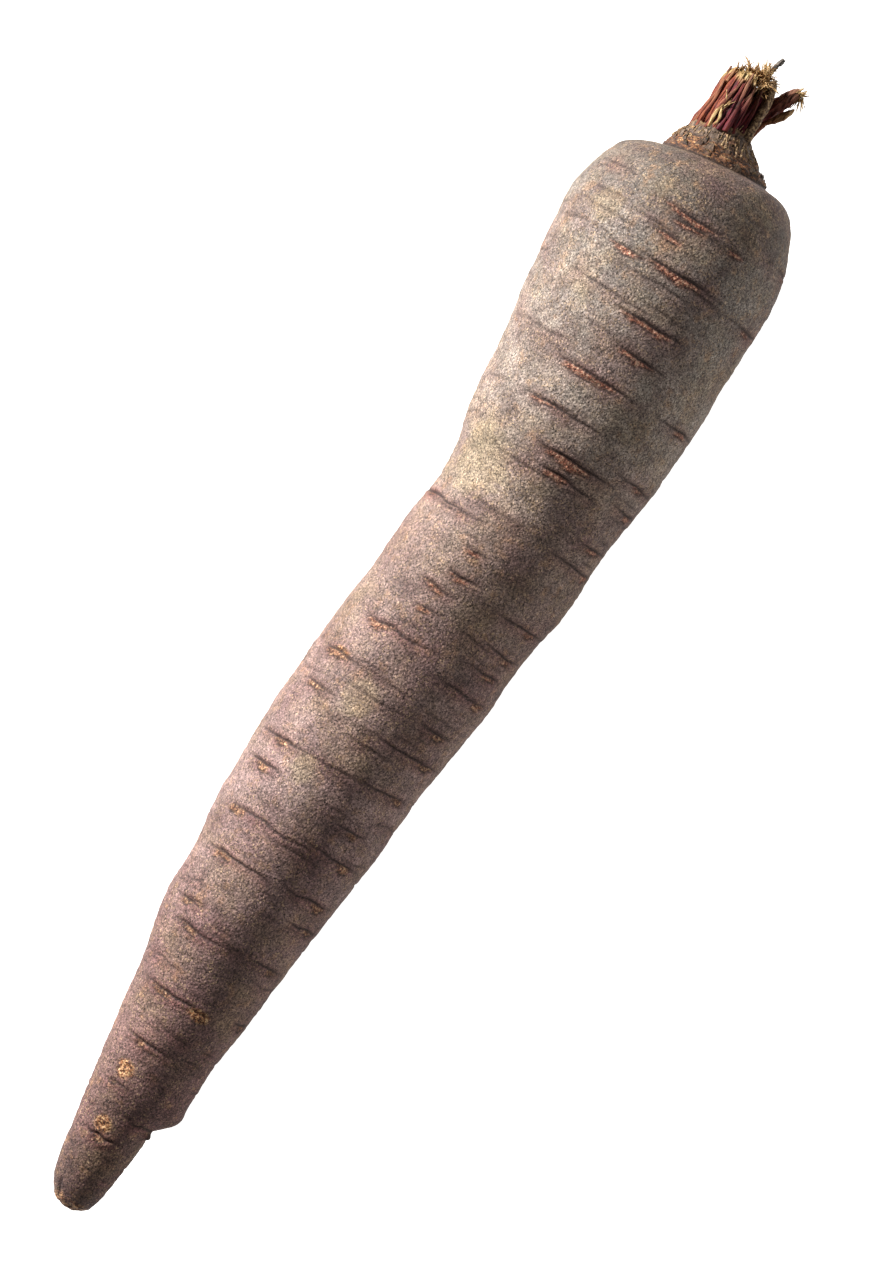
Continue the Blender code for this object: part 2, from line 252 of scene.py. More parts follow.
# Strips that lie on the bundle: first and last height, first and last angle, distance from the
# middle at the foot and at the top, width, share of copper, dryness at the foot and at the top
BUNDLE_STRIPS = (
    (-0.5, 9.5, 62, 74, 5.6, 5.2, 0.55, 0.55, 0.0, 0.3),
    (-0.6, 8.0, 40, 30, 5.1, 4.6, 0.50, 0.90, 0.0, 0.2),
    (-0.6, 10.8, 18, 34, 5.0, 4.3, 0.45, 0.80, 0.0, 0.4),
    (-0.6, 10.9, -6, 8, 5.0, 4.3, 0.50, 0.70, 0.0, 0.3),
    (-0.4, 11.3, 96, 88, 5.7, 5.3, 0.50, 0.20, 0.0, 0.3),
    (-0.4, 9.6, 112, 100, 5.4, 5.2, 0.45, 0.30, 0.0, 0.2),
    (-0.4, 10.8, 84, 108, 5.7, 4.9, 0.35, 0.10, 0.0, 0.5),
    (-0.2, 10.0, 132, 126, 5.0, 4.6, 0.50, 0.05, 0.0, 0.2),
    (0.2, 11.4, 152, 140, 4.9, 4.4, 0.45, 0.15, 0.1, 0.4),
    (-0.2, 5.2, 66, 69, 5.7, 5.6, 0.38, 0.60, 0.8, 1.0),
    (0.4, 4.6, 73, 70, 5.7, 5.6, 0.30, 0.60, 0.9, 1.0),
    (-0.2, 8.4, 200, 214, 4.5, 4.0, 0.45, 0.10, 0.1, 0.5),
    (-0.2, 9.2, 238, 226, 4.6, 4.1, 0.45, 0.20, 0.0, 0.4),
    (-0.2, 9.0, 280, 268, 5.3, 4.8, 0.50, 0.50, 0.0, 0.4),
    (-0.2, 9.6, 310, 322, 5.4, 4.9, 0.50, 0.60, 0.0, 0.4),
)

NECK_FIBRES = 90
FIBRE_LOW, FIBRE_HIGH = 5.15, 10.4  # mm from the middle of the neck

# Stalks beside the bundle: CAD node, piece, finish, kind, knots of place and radius in mm from the
# middle of the neck, rings, sides, material, then share of copper, dryness at the foot and at the
# top, squash, twist, ribs and their depth. Last come its frayed ends: origin, spread, direction,
# length, radius, number and curl of the fibres, then their rings, share of copper and dryness
SIDE_STALKS = (
    (
        "thin_stalk", "thin_speckled_stalk", "dry_stalk", "stalk",
        (
            (0.2, -4.7, 2.6, 1.20), (2.2, -4.5, 3.1, 0.98), (4.0, -4.5, 3.2, 0.90), (6.4, -4.4, 3.1, 0.86),
            (9.2, -4.2, 3.1, 0.80), (11.4, -3.5, 3.1, 0.74), (12.4, -3.0, 3.1, 0.64),
        ),
        60, 18, "brown", (0.3, (0.1, 0.5), 0.9, 1.2, 5, 0.16),
        ((((11.4, -3.4, 3.0), (0.4, 0.4, 0.3), (0.9, 0.5, 0.3), 2.0, 0.14, 12, 0.5), 8, 0.5, (0.8, 1.0)),),
    ),
    (
        "bent_stalk", "bent_red_stalk", "red_stalk", "stalk",
        (
            (1.2, -4.5, -1.6, 1.00), (4.8, -4.9, -1.4, 1.20), (7.4, -5.2, -0.7, 1.42), (9.4, -6.0, 0.2, 1.50),
            (11.6, -7.0, 0.9, 1.36), (13.0, -7.7, 1.2, 1.02), (13.7, -8.1, 1.3, 0.55),
        ),
        64, 44, "red", (0.20, (0.0, 0.32), 0.95, 0.9, 7, 0.26),
        (
            (((13.0, -7.8, 1.4), (0.5, 0.6, 0.4), (0.5, -0.9, 0.3), 1.7, 0.15, 22, 0.5), 8, 0.6, (0.85, 1.0)),
            (
                ((12.8, -8.6, 1.0), (0.5, 0.4, 0.4), (-0.9, -0.5, -0.1), 2.6, 0.15, 16, 0.25),
                8, 0.6, (0.85, 1.0),
            ),
        ),
    ),
    (
        "curled_shred", "curled_copper_shred", "dry_stalk", "shred",
        (
            (1.8, -5.1, 0.8, 0.40), (4.4, -5.4, 0.9, 0.50), (5.6, -6.0, 0.9, 0.50), (6.6, -6.8, 1.1, 0.70),
            (7.8, -7.6, 1.3, 0.92), (9.2, -8.4, 1.4, 0.78), (10.4, -8.9, 1.2, 0.20),
        ),
        48, 24, "red", (1.0, (0.1, 0.7), 0.6, 0.8, 7, 0.2),
        (),
    ),
    (
        "grey_stub", "grey_split_stub", "dry_stalk", "stub",
        (
            (1.0, -2.0, 0.5, 0.40), (6.0, -1.9, 0.5, 0.42), (11.0, -1.8, 0.8, 0.46), (14.6, -1.9, 1.0, 0.56),
            (16.0, -2.2, 1.1, 0.58), (16.9, -2.5, 1.2, 0.45),
        ),
        40, 16, "grey", (0.1, (0.1, 0.3), 0.7, 1.4, 5, 0.2),
        ((((15.8, -2.3, 1.1), (0.3, 0.3, 0.2), (1.0, -0.3, 0.1), 1.4, 0.12, 7, 0.2), 6, 0.1, (0.2, 0.3)),),
    ),
)

TABLE_HALF = 8.0
TABLE_GAP = 0.05 * MM
CAMERA_PLACE = (1.05, -2.88, 978.0)  # mm
CAMERA_TURN = -57.0


def linear(colour):
    """Linear RGBA of an sRGB hex colour."""
    shares = [int(colour[start : start + 2], 16) / 255 for start in (1, 3, 5)]
    return (*(s / 12.92 if s <= 0.04045 else ((s + 0.055) / 1.055) ** 2.4 for s in shares), 1.0)


def smooth_step(value, low=0.0, high=1.0):
    """0 up to low, 1 from high on and a smooth rise between them."""
    share = np.clip((value - low) / (high - low), 0.0, 1.0)
    return share * share * (3.0 - 2.0 * share)


def turned(angle, middle):
    """Degrees from middle to angle, the short way round."""
    return (angle - middle + 180.0) % 360.0 - 180.0


def bell(off, width):
    """1 in the middle, fading smoothly to 0 as off grows past width."""
    return np.exp(-((off / width) ** 2))


def hermite(points, slopes, start, t, span=1.0):
    """Places on a smooth curve, a share t of the way from each start point to the next one."""
    return (
        (2 * t**3 - 3 * t**2 + 1) * points[start]
        + (t**3 - 2 * t**2 + t) * span * slopes[start]
        + (3 * t**2 - 2 * t**3) * points[start + 1]
        + (t**3 - t**2) * span * slopes[start + 1]
    )


def grain(points, sizes, seed):
    """Smooth noise from -1 to 1 at an array of places, with its grain size along each axis."""
    scaled = points.reshape(-1, 3) / np.array(sizes) + np.array((seed * 17.3, seed * 5.1, seed * 9.7))
    values = [noise.noise(place) for place in scaled.tolist()]
    return np.array(values).reshape(points.shape[:-1])


def wobble(angles, size, seed):
    """Smooth noise from -1 to 1 at an array of angles in degrees."""
    return np.array([noise.noise((angle / size, seed * 3.7, 0.5)) for angle in angles.tolist()])


# ---------------------------------------------------------------- meshes


def loft(name, loops, attributes, material, ends=(None, None)):
    """Closed mesh through loops of points, with an optional middle point at either end.

    Loops are an array of loops, sides and coordinates. Attributes are arrays of loops and sides.
    """
    count, sides = loops.shape[:2]
    places = loops.reshape(-1, 3).tolist()
    corners = np.arange(count * sides).reshape(count, sides)
    ahead = np.roll(corners, -1, axis=1)
    faces = np.stack([corners[:-1], ahead[:-1], ahead[1:], corners[1:]], axis=-1).reshape(-1, 4).tolist()
    hubs = []
    for end, row, order in ((ends[0], 0, -1), (ends[1], -1, 1)):
        rim = corners[row].tolist()
        if end is None:
            faces.append(rim[::order])
            continue
        hub = len(places)
        hubs.append(row)
        places.append(tuple(end))
        for side, corner in enumerate(rim):
            following = rim[(side + 1) % sides]
            faces.append([corner, following, hub][::order])
    mesh = bpy.data.meshes.new(name)
    mesh.from_pydata(places, [], faces)
    for key, values in attributes.items():
        data = mesh.attributes.new(key, "FLOAT", "POINT")
        flat = np.concatenate([values.reshape(-1), [values[row].mean() for row in hubs]])
        data.data.foreach_set("value", flat.astype(np.float32))
    mesh.materials.append(material)
    mesh.shade_smooth()
    mesh.validate()
    solid = bmesh.new()
    solid.from_mesh(mesh)
    if solid.calc_volume(signed=True) < 0.0:
        mesh.flip_normals()
    solid.free()
    obj = bpy.data.objects.new(name, mesh)
    bpy.context.collection.objects.link(obj)
    return obj


def joined(name, parts):
    """Join objects into one, which takes the name."""
    with bpy.context.temp_override(
        active_object=parts[0], selected_editable_objects=parts, selected_objects=parts
    ):
        bpy.ops.object.join()
    parts[0].name = name
    parts[0].data.name = name
    return parts[0]


def grid_normals(loops):
    """Outward unit normals of an array of loops that go round +X from +Y over +Z."""
    along = np.gradient(loops, axis=0)
    around = np.roll(loops, -1, axis=1) - np.roll(loops, 1, axis=1)
    normals = np.cross(around, along)
    return normals / np.maximum(np.linalg.norm(normals, axis=-1, keepdims=True), 1e-12)


def spine_loops(points, radii, sides, squash=1.0, twist=0.0, ribs=0, rib_depth=0.0):
    """Loops round a curved spine, with an even frame carried along it.

    Squash flattens the section, twist turns it by the end and ribs are ridges along it.
    """
    points = np.array(points, float)
    tangents = np.gradient(points, axis=0)
    tangents /= np.linalg.norm(tangents, axis=1, keepdims=True)
    side = np.cross(tangents[0], (0.0, 0.0, 1.0))
    loops = []
    for index, (point, tangent, radius) in enumerate(zip(points, tangents, radii)):
        side = side - tangent * side.dot(tangent)
        side /= np.linalg.norm(side)
        up = np.cross(side, tangent)
        turn = twist * index / len(points)
        angles = 2.0 * math.pi * np.arange(sides) / sides
        ridge = 1.0 - rib_depth * np.abs(np.cos(0.5 * ribs * angles)) if ribs else 1.0
        flat = radius * ridge * np.cos(angles)
        tall = radius * ridge * np.sin(angles) * squash
        across = flat * math.cos(turn) - tall * math.sin(turn)
        rise = flat * math.sin(turn) + tall * math.cos(turn)
        loops.append(point + across[:, None] * side + rise[:, None] * up)
    return np.array(loops)


def curve_through(points, count):
    """Evenly timed places on a smooth curve through the points, each of any number of values."""
    points = np.array(points, float)
    times = np.linspace(0.0, len(points) - 1.0, count)
    start = np.minimum(times.astype(int), len(points) - 2)
    return hermite(points, np.gradient(points, axis=0), start, (times - start)[:, None])


# ---------------------------------------------------------------- root


def ray_tree(data):
    """Tree of a mesh's faces for casting rays at."""
    return BVHTree.FromPolygons([v.co for v in data.vertices], [p.vertices for p in data.polygons])


def ring_centre(tree, x, guess):
    """Middle of the root's section at x, found from a place inside it."""
    centre = Vector((x, guess.y, guess.z))
    for axis in (Vector((0, 1, 0)), Vector((0, 0, 1))):
        far = tree.ray_cast(centre, axis)[0]
        near = tree.ray_cast(centre, -axis)[0]
        centre += axis * (0.5 * (far + near) - centre).dot(axis)
    return centre


def trace_root():
    """Smooth rings of points over the CAD root from tip to neck, and the middles of its ends."""
    tree = ray_tree(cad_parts["taproot"].data)
    tip_x = ROOT_LOW.x + TIP_PIVOT
    crown_x = ROOT_LOW.x + CROWN_PIVOT
    middle_x = 0.5 * (tip_x + crown_x)
    guess = Vector((middle_x, 0.0, 0.5 * ROOT_HIGH.z))
    places = np.linspace(tip_x, crown_x, round((crown_x - tip_x) / TRACE_STEP))
    centres = {}
    for half in (places[places <= middle_x][::-1], places[places > middle_x]):
        centre = guess
        for x in half:
            centre = ring_centre(tree, x, centre)
            centres[x] = centre
    tip_centre = centres[places[0]]
    crown_centre = centres[places[-1]]
    stations = [(tip_centre, lean) for lean in np.linspace(172.0, 98.0, 10)]
    stations += [(centres[x], 90.0) for x in places]
    stations += [(crown_centre, lean) for lean in np.linspace(87.0, LAST_CROWN_ANGLE, 42)]
    rings = []
    for centre, lean in stations:
        lean = math.radians(lean)
        ring = []
        for side in range(TRACE_SIDES):
            turn = 2.0 * math.pi * side / TRACE_SIDES
            out = math.sin(lean)
            way = Vector((math.cos(lean), out * math.cos(turn), out * math.sin(turn)))
            ring.append(tree.ray_cast(centre, way)[0])
        rings.append(ring)
    rings = np.array(rings)
    waves = np.fft.rfft(rings, axis=1)[:, : ROUND_WAVES + 1]
    rings = np.fft.irfft(waves, n=SKIN_SIDES, axis=1) * SKIN_SIDES / TRACE_SIDES
    for _ in range(2):
        rings[1:-1] = 0.25 * rings[:-2] + 0.5 * rings[1:-1] + 0.25 * rings[2:]
    ends = (rings[0].mean(axis=0) - (0.2 * MM, 0, 0), rings[-1].mean(axis=0))
    return rings, ends


def even_rings(rings, step):
    """Rings a step apart along a smooth surface through the given rings."""
    painted_pebble_gap_shade = np.linalg.norm(np.diff(rings, axis=0), axis=2).mean(axis=1)
    times = np.concatenate([[0.0], np.cumsum(painted_pebble_gap_shade)])
    wanted = np.linspace(0.0, times[-1], round(times[-1] / step))
    start = np.clip(np.searchsorted(times, wanted, side="right") - 1, 0, len(times) - 2)
    span = (times[start + 1] - times[start])[:, None, None]
    t = (wanted - times[start])[:, None, None] / span
    return hermite(rings, np.gradient(rings, times, axis=0), start, t, span)


def seeded_scars():
    """Scars on the side that lies down and at the back, and faint creases all round."""
    chance = random.Random(7)
    scars = []
    for index in range(HIDDEN_SCARS):
        place = 12.0 + 198.0 * (index + chance.random()) / HIDDEN_SCARS
        middle = chance.uniform(HIDDEN_FIRST, HIDDEN_LAST)
        half = chance.uniform(14, 34)
        cork = chance.uniform(4, 9)
        off = chance.uniform(-0.5, 0.5) * half
        depth = chance.uniform(0.2, 0.36)
        thick = chance.uniform(0.6, 1.1)
        corks = (middle + off - cork, middle + off + cork)
        scars.append((place, middle - half, middle + half, *corks, thick, depth))
    for _ in range(EXTRA_CREASES):
        place = chance.uniform(8.0, 213.0)
        middle = chance.uniform(0, 360)
        half = chance.uniform(8, 30)
        scars.append((place, middle - half, middle + half, 0, 0, 0.0, chance.uniform(0.06, 0.16)))
    return scars


def cut_scars(places, angles, strength):
    """Relief in mm of the scars, and how much shows of their cork, the painted shade of their creases and
    cork edges, and red blush.
    """
    relief, cork, crease_shade_and_dark_wart, blush = (np.zeros_like(places) for _ in range(4))
    turns = angles[0]
    row_places = places.mean(axis=1)
    for index, scar in enumerate([*SCARS, *seeded_scars()]):
        place, first, last, cork_first, cork_last, thick, depth = scar
        rows = np.flatnonzero(np.abs(row_places - place) < SCAR_REACH)
        if not len(rows):
            continue
        rows = slice(rows[0], rows[-1] + 1)
        share = turned(turns, 0.5 * (first + last)) / (0.5 * (last - first))
        fade = np.clip(1.0 - np.abs(share) ** 2.5, 0.0, 1.0)
        line = place + 0.5 * wobble(turns, 14.0, index) + 0.18 * wobble(turns, 4.0, index + 50)
        off = places[rows] - line
        near = np.zeros_like(turns)
        if thick > 0.0:
            cork_share = turned(turns, 0.5 * (cork_first + cork_last)) / (0.5 * (cork_last - cork_first))
            near = bell(cork_share, 1.4)
        fine = min(depth, FINE_CREASE)
        depth = strength * (fine + (depth - fine) * near)
        cut = fade * bell(off, CREASE_WIDTH + CORK_CREASE * near)
        reddened = fade * bell(off - BLUSH_PLACE, BLUSH_WIDTH) * depth / DEEP_CREASE
        blush[rows] = np.maximum(blush[rows], reddened)
        relief[rows] -= depth * cut
        relief[rows] += 0.22 * depth * fade * bell(off - RIDGE_PLACE, RIDGE_WIDTH)
        # The crease and the low edge of the cork are darkened with painted shade
        edge = cut * (0.1 + 4.0 * fine)
        if thick > 0.0:
            width = thick * np.sqrt(np.clip(1.0 - cork_share**2, 0.0, 1.0))
            width *= 1.0 + 0.45 * wobble(turns, 2.6, index + 90)
            inside = smooth_step(-off, 0.0, 0.25) * smooth_step(off + width, -0.12, 0.16)
            inside *= width > LEAST_CORK
            lower = bell(off + width, CORK_EDGE) * (width > LEAST_CORK)
            relief[rows] -= 0.4 * depth * lower + 0.10 * inside
            relief[rows] += 0.35 * depth * fade * bell(off + width - BROW_PLACE, BROW_WIDTH)
            edge = np.maximum(edge, 0.95 * lower)
            cork[rows] = np.maximum(cork[rows], inside)
        crease_shade_and_dark_wart[rows] = np.maximum(crease_shade_and_dark_wart[rows], edge)
    return relief, cork, crease_shade_and_dark_wart, blush


def spots(points, places, angles, rows, seed):
    """How much of each listed spot shows, with ragged edges."""
    shown = np.zeros_like(places)
    ragged = grain(points / MM, (0.9, 0.9, 0.9), seed)
    middle_y = points[..., 1].mean(axis=1, keepdims=True)
    middle_z = points[..., 2].mean(axis=1, keepdims=True)
    radius = np.hypot(points[..., 1] - middle_y, points[..., 2] - middle_z) / MM
    for place, angle, along, around in rows:
        across = np.radians(turned(angles, angle)) * radius
        far = np.sqrt(((places - place) / along) ** 2 + (across / around) ** 2)
        shown = np.maximum(shown, smooth_step(1.0 - far + 0.25 * ragged, 0.0, 0.35))
    return shown


def make_root_skin(skin):
    """Skin of the root: the traced shape with its scars, creases, puckers and scaly collar."""
    rings, ends = trace_root()
    points = even_rings(rings, RING_STEP)
    normals = grid_normals(points)
    count = len(points)
    places = (points[..., 0] - ROOT_LOW.x) / MM
    angles = np.tile(np.arange(SKIN_SIDES) * 360.0 / SKIN_SIDES, (count, 1))
    mm = points / MM

    relief, cork, crease_shade_and_dark_wart, blush = cut_scars(places, angles, skin.scar_depth / MM / DEEP_CREASE)
    on_crown = (points[..., 0] - NECK.x + COLLAR_TILT * (points[..., 1] - NECK.y)) / MM
    way = on_crown + COLLAR_HEIGHT / MM
    collar = smooth_step(way, -0.15, 0.35)
    body = 1.0 - collar

    for height, sizes, seed in UNEVENNESS:
        relief += body * height * grain(mm, sizes, seed)
    wrinkles = grain(mm, (1.1, 6.0, 6.0), 3) + 0.6 * grain(mm, (0.65, 3.0, 3.0), 4)
    relief += body * skin.wrinkle_height / MM * wrinkles
    relief += cork * CORK_HEIGHT * grain(mm, (0.5, 1.3, 1.3), 5)

    # Knuckle and wart near the tip
    for place, along, angle, around, height in SWELLINGS:
        relief += height * bell(turned(angles, angle), around) * bell(places - place, along)
    wart = bell(places - WART_PLACE, 0.8) * bell(turned(angles, WART_ANGLE), 8.0)
    relief += WART_HEIGHT * wart
    # The wart's own dark colour goes into the same mask as the painted shade of the creases
    crease_shade_and_dark_wart = np.maximum(crease_shade_and_dark_wart, 0.8 * smooth_step(wart, 0.25, 0.6))

    # Rough scab at the tip, with a crack beside it that painted shade darkens
    tip = smooth_step(SCAB_LENGTH - places + 0.9 * grain(mm, (2.0, 2.0, 2.0), 6), 0.0, 1.6)
    relief += tip * SCAB_HEIGHT * grain(mm, (0.9, 1.1, 1.1), 7)
    crack = bell(turned(angles, CRACK_ANGLE), 4.0) * smooth_step(places, 1.0, 2.0)
    crack *= 1.0 - smooth_step(places, 4.0, 5.5)
    relief -= CRACK_DEPTH * crack
    crease_shade_and_dark_wart = np.maximum(crease_shade_and_dark_wart, crack)

    # Scaly collar, calmer toward the neck, with a groove at its foot; painted shade darkens the low places
    # between the scales and the groove
    scales = np.abs(grain(mm, (0.85, 2.4, 2.4), 8)) + 0.6 * np.abs(grain(mm, (0.45, 1.1, 1.1), 9))
    crease_shade_and_dark_wart = np.maximum(crease_shade_and_dark_wart, 0.8 * collar * smooth_step(0.22 - scales, 0.0, 0.16))
    calm = smooth_step(way, 2.6, 4.4)
    relief += collar * (0.55 - 0.25 * calm) * (scales - 0.35)
    foot = bell(way - 0.05, 0.30)
    relief -= COLLAR_GROOVE * foot
    crease_shade_and_dark_wart = np.maximum(crease_shade_and_dark_wart, 0.85 * foot)

    gold = spots(points, places, angles, GOLD_SPOTS, 10)
    relief += SPOT_HEIGHT * gold * grain(mm, (0.7, 0.9, 0.9), 11)
    pale = spots(points, places, angles, PALE_SPOTS, 12)

    # Darker streak along the top, partly darker pigment and partly painted shade along the key light's core
    # shadow; it fades out toward the shoulder
    pigment_and_painted_shade_streak = body * bell(turned(angles, 102.0), 22.0)
    pigment_and_painted_shade_streak *= 1.0 - 0.85 * smooth_step(places, 50.0, 140.0)

    points = points + normals * (relief * MM)[..., None]
    points[..., 2] = np.maximum(points[..., 2], 0.0)
    attributes = {
        "cork": cork,
        "crease_shade_and_dark_wart": crease_shade_and_dark_wart,
        "blush": np.clip(blush, 0.0, 1.0),
        "gold": gold,
        "pale": pale,
        "collar": collar,
        "calm": calm * collar,
        "tip": tip,
        "pigment_and_painted_shade_streak": pigment_and_painted_shade_streak,
    }
    obj = loft("root_skin", points, attributes, skin_material(skin), ends)
    add_bake_map(obj, count)
    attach(obj, "root")
    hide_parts("taproot")


def add_bake_map(obj, count):
    """UV map that unrolls the root: U along it and V round it."""
    layer = obj.data.uv_layers.new(name="OFBake")
    values = np.zeros((len(obj.data.loops), 2), np.float32)
    first_hub = count * SKIN_SIDES
    last_column = SKIN_SIDES - 1
    for face in obj.data.polygons:
        sides = [obj.data.loops[index].vertex_index for index in face.loop_indices]
        columns = [vertex % SKIN_SIDES for vertex in sides if vertex < first_hub]
        low = min(columns) if max(columns) - min(columns) < 2 else last_column
        for index, vertex in zip(face.loop_indices, sides):
            if vertex >= first_hub:
                values[index] = (0.0 if vertex == first_hub else 1.0, (low + 0.5) / SKIN_SIDES)
                continue
            row, column = divmod(vertex, SKIN_SIDES)
            across = SKIN_SIDES if column == 0 and low == last_column else column
            values[index] = (0.005 + 0.99 * row / count, across / SKIN_SIDES)
    layer.data.foreach_set("uv", values.reshape(-1))


# ---------------------------------------------------------------- collar


def make_collar(root_skin):
    """Papery scales that hug the collar, and the torn cuff of leaf sheath round the neck."""
    chance = random.Random(21)
    tree = ray_tree(root_skin.data)
    pivot = Vector((ROOT_LOW.x + CROWN_PIVOT, NECK.y * 0.6, NECK.z - 0.4 * MM))
    material = sheath_material()
    parts = []
    for row in range(SCALE_ROWS):
        for index in range(ROW_SCALES):
            share = (index + 0.5 * (row % 2) + chance.uniform(-0.3, 0.3)) / ROW_SCALES
            turn = 2.0 * math.pi * share
            lean = math.radians(FIRST_LEAN - LEAN_STEP * row + chance.uniform(-0.8, 0.8))
            width = math.radians(chance.uniform(8, 17))
            length = math.radians(chance.uniform(2.2, 4.2))
            lift = chance.uniform(0.05, 0.32) * MM
            seed = chance.random() * 90
            parts.append(collar_scale(tree, pivot, turn, lean, width, length, lift, seed, material))
    scales = joined("collar_scales", parts)
    cuff = neck_cuff(material)
    fringe = neck_fibres(chance, tree, weathered_material(*WEATHERED_BROWN))
    for piece in (scales, cuff, fringe):
        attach(piece, "root")


def collar_scale(tree, pivot, turn, lean, width, length, lift, seed, material):
    """One thin scale with its root on the collar and its ragged free edge toward the crown."""
    across_steps, along_steps = 6, 5
    grid = []
    shade = []
    for step in range(along_steps + 1):
        v = step / along_steps
        row = []
        for column in range(across_steps + 1):
            u = 2.0 * column / across_steps - 1.0
            ragged = 1.0 + 0.35 * noise.noise((u * 2.3, seed, 0.0))
            taper = 1.0 - 0.45 * v * v
            reach = v * ragged * (1.0 - 0.35 * abs(u) ** 2.5)
            slant = lean - length * reach
            angle = turn + width * 0.5 * u * taper
            out = math.sin(slant)
            way = Vector((math.cos(slant), out * math.cos(angle), out * math.sin(angle)))
            hit, normal = tree.ray_cast(pivot, way)[:2]
            rise = -0.10 * MM + (lift + 0.14 * MM) * v + 0.05 * MM * (1 - u * u)
            row.append((hit, normal * (1 if normal.dot(way) > 0 else -1), rise))
        grid.append(row)
    loops = []
    for row in grid:
        top = [hit + normal * rise for hit, normal, rise in row]
        under = [hit + normal * (rise - SCALE_THICKNESS) for hit, normal, rise in row]
        loops.append([tuple(place) for place in top + under[::-1]])
        shade.append([seed / 90.0] * len(loops[-1]))
    loops = np.array(loops)
    rim = np.linspace(0.0, 1.0, len(loops))[:, None] * np.ones(loops.shape[:2])
    return loft("scale", loops, {"shade": np.array(shade), "rim": rim}, material)


def neck_cuff(material):
    """Torn ring of leaf sheath that the stalks come out of."""
    sides = 120
    turns = np.arange(sides) * 2.0 * math.pi / sides
    from_left = np.abs(turned(np.degrees(turns), 0.0))
    torn = wobble(from_left, 16.0, 4) + 0.6 * wobble(from_left, 6.0, 8)
    top = (0.55 + 0.55 * torn) * MM
    bulge = 0.15 * MM * wobble(from_left, 24.0, 15)
    foot = 2.3 * MM
    section = []
    for share, radius in ((0.0, 6.15), (0.35, 5.75), (0.7, 5.55), (1.0, 5.42), (1.0, 5.30), (0.5, 5.2)):
        reach = radius * MM + bulge
        across = reach * np.cos(turns)
        x = NECK.x - 0.33 * across - foot + (top + foot) * share
        section.append(np.stack([x, NECK.y + across, NECK.z + reach * np.sin(turns)], axis=-1))
    loops = np.transpose(np.array(section), (1, 0, 2))
    loops = np.concatenate([loops, loops[:1]])
    shade = 0.42 + 0.35 * np.tile(np.append(torn, torn[0])[:, None], (1, loops.shape[1]))
    rim = np.tile(np.array((0.0, 0.3, 0.7, 1.0, 1.0, 0.5)), (len(loops), 1))
    return loft("neck_cuff", loops, {"shade": shade, "rim": rim}, material)


def neck_fibres(chance, tree, material):
    """Torn fibres of old leaf bases that run from the collar up on to the bundle."""
    parts = []
    for index in range(NECK_FIBRES):
        angle = chance.gauss(165, 45) if index % 3 else chance.uniform(0, 360)
        start = chance.uniform(-4.6, -1.2)
        length = chance.uniform(1.6, 4.2)
        drift = chance.uniform(-9, 9)
        lift = chance.uniform(0.0, 0.30)
        radius = chance.uniform(0.12, 0.24)
        knots = []
        for step in range(6):
            share = step / 5
            turn = math.radians(angle + drift * share)
            height = start + length * share - 1.7 * math.cos(turn)
            way = Vector((0.0, math.cos(turn), math.sin(turn)))
            hit, _, _, reach = tree.ray_cast(NECK + Vector((height * MM, 0.0, 0.0)), way)
            reach = min(max(reach / MM if hit else 0.0, FIBRE_LOW), FIBRE_HIGH) + 0.05 + lift * share**2
            place = (height, reach * math.cos(turn), reach * math.sin(turn))
            knots.append((*place, radius * (1.0 - 0.5 * share)))
        dry = (chance.uniform(0.1, 0.5), chance.uniform(0.5, 1.0))
        parts.append(make_strand("fibre", knots, 12, 6, material, 0.6, dry, 0.5, chance.uniform(-1, 1)))
    return joined("neck_fibres", parts)


# ---------------------------------------------------------------- leaf stalks


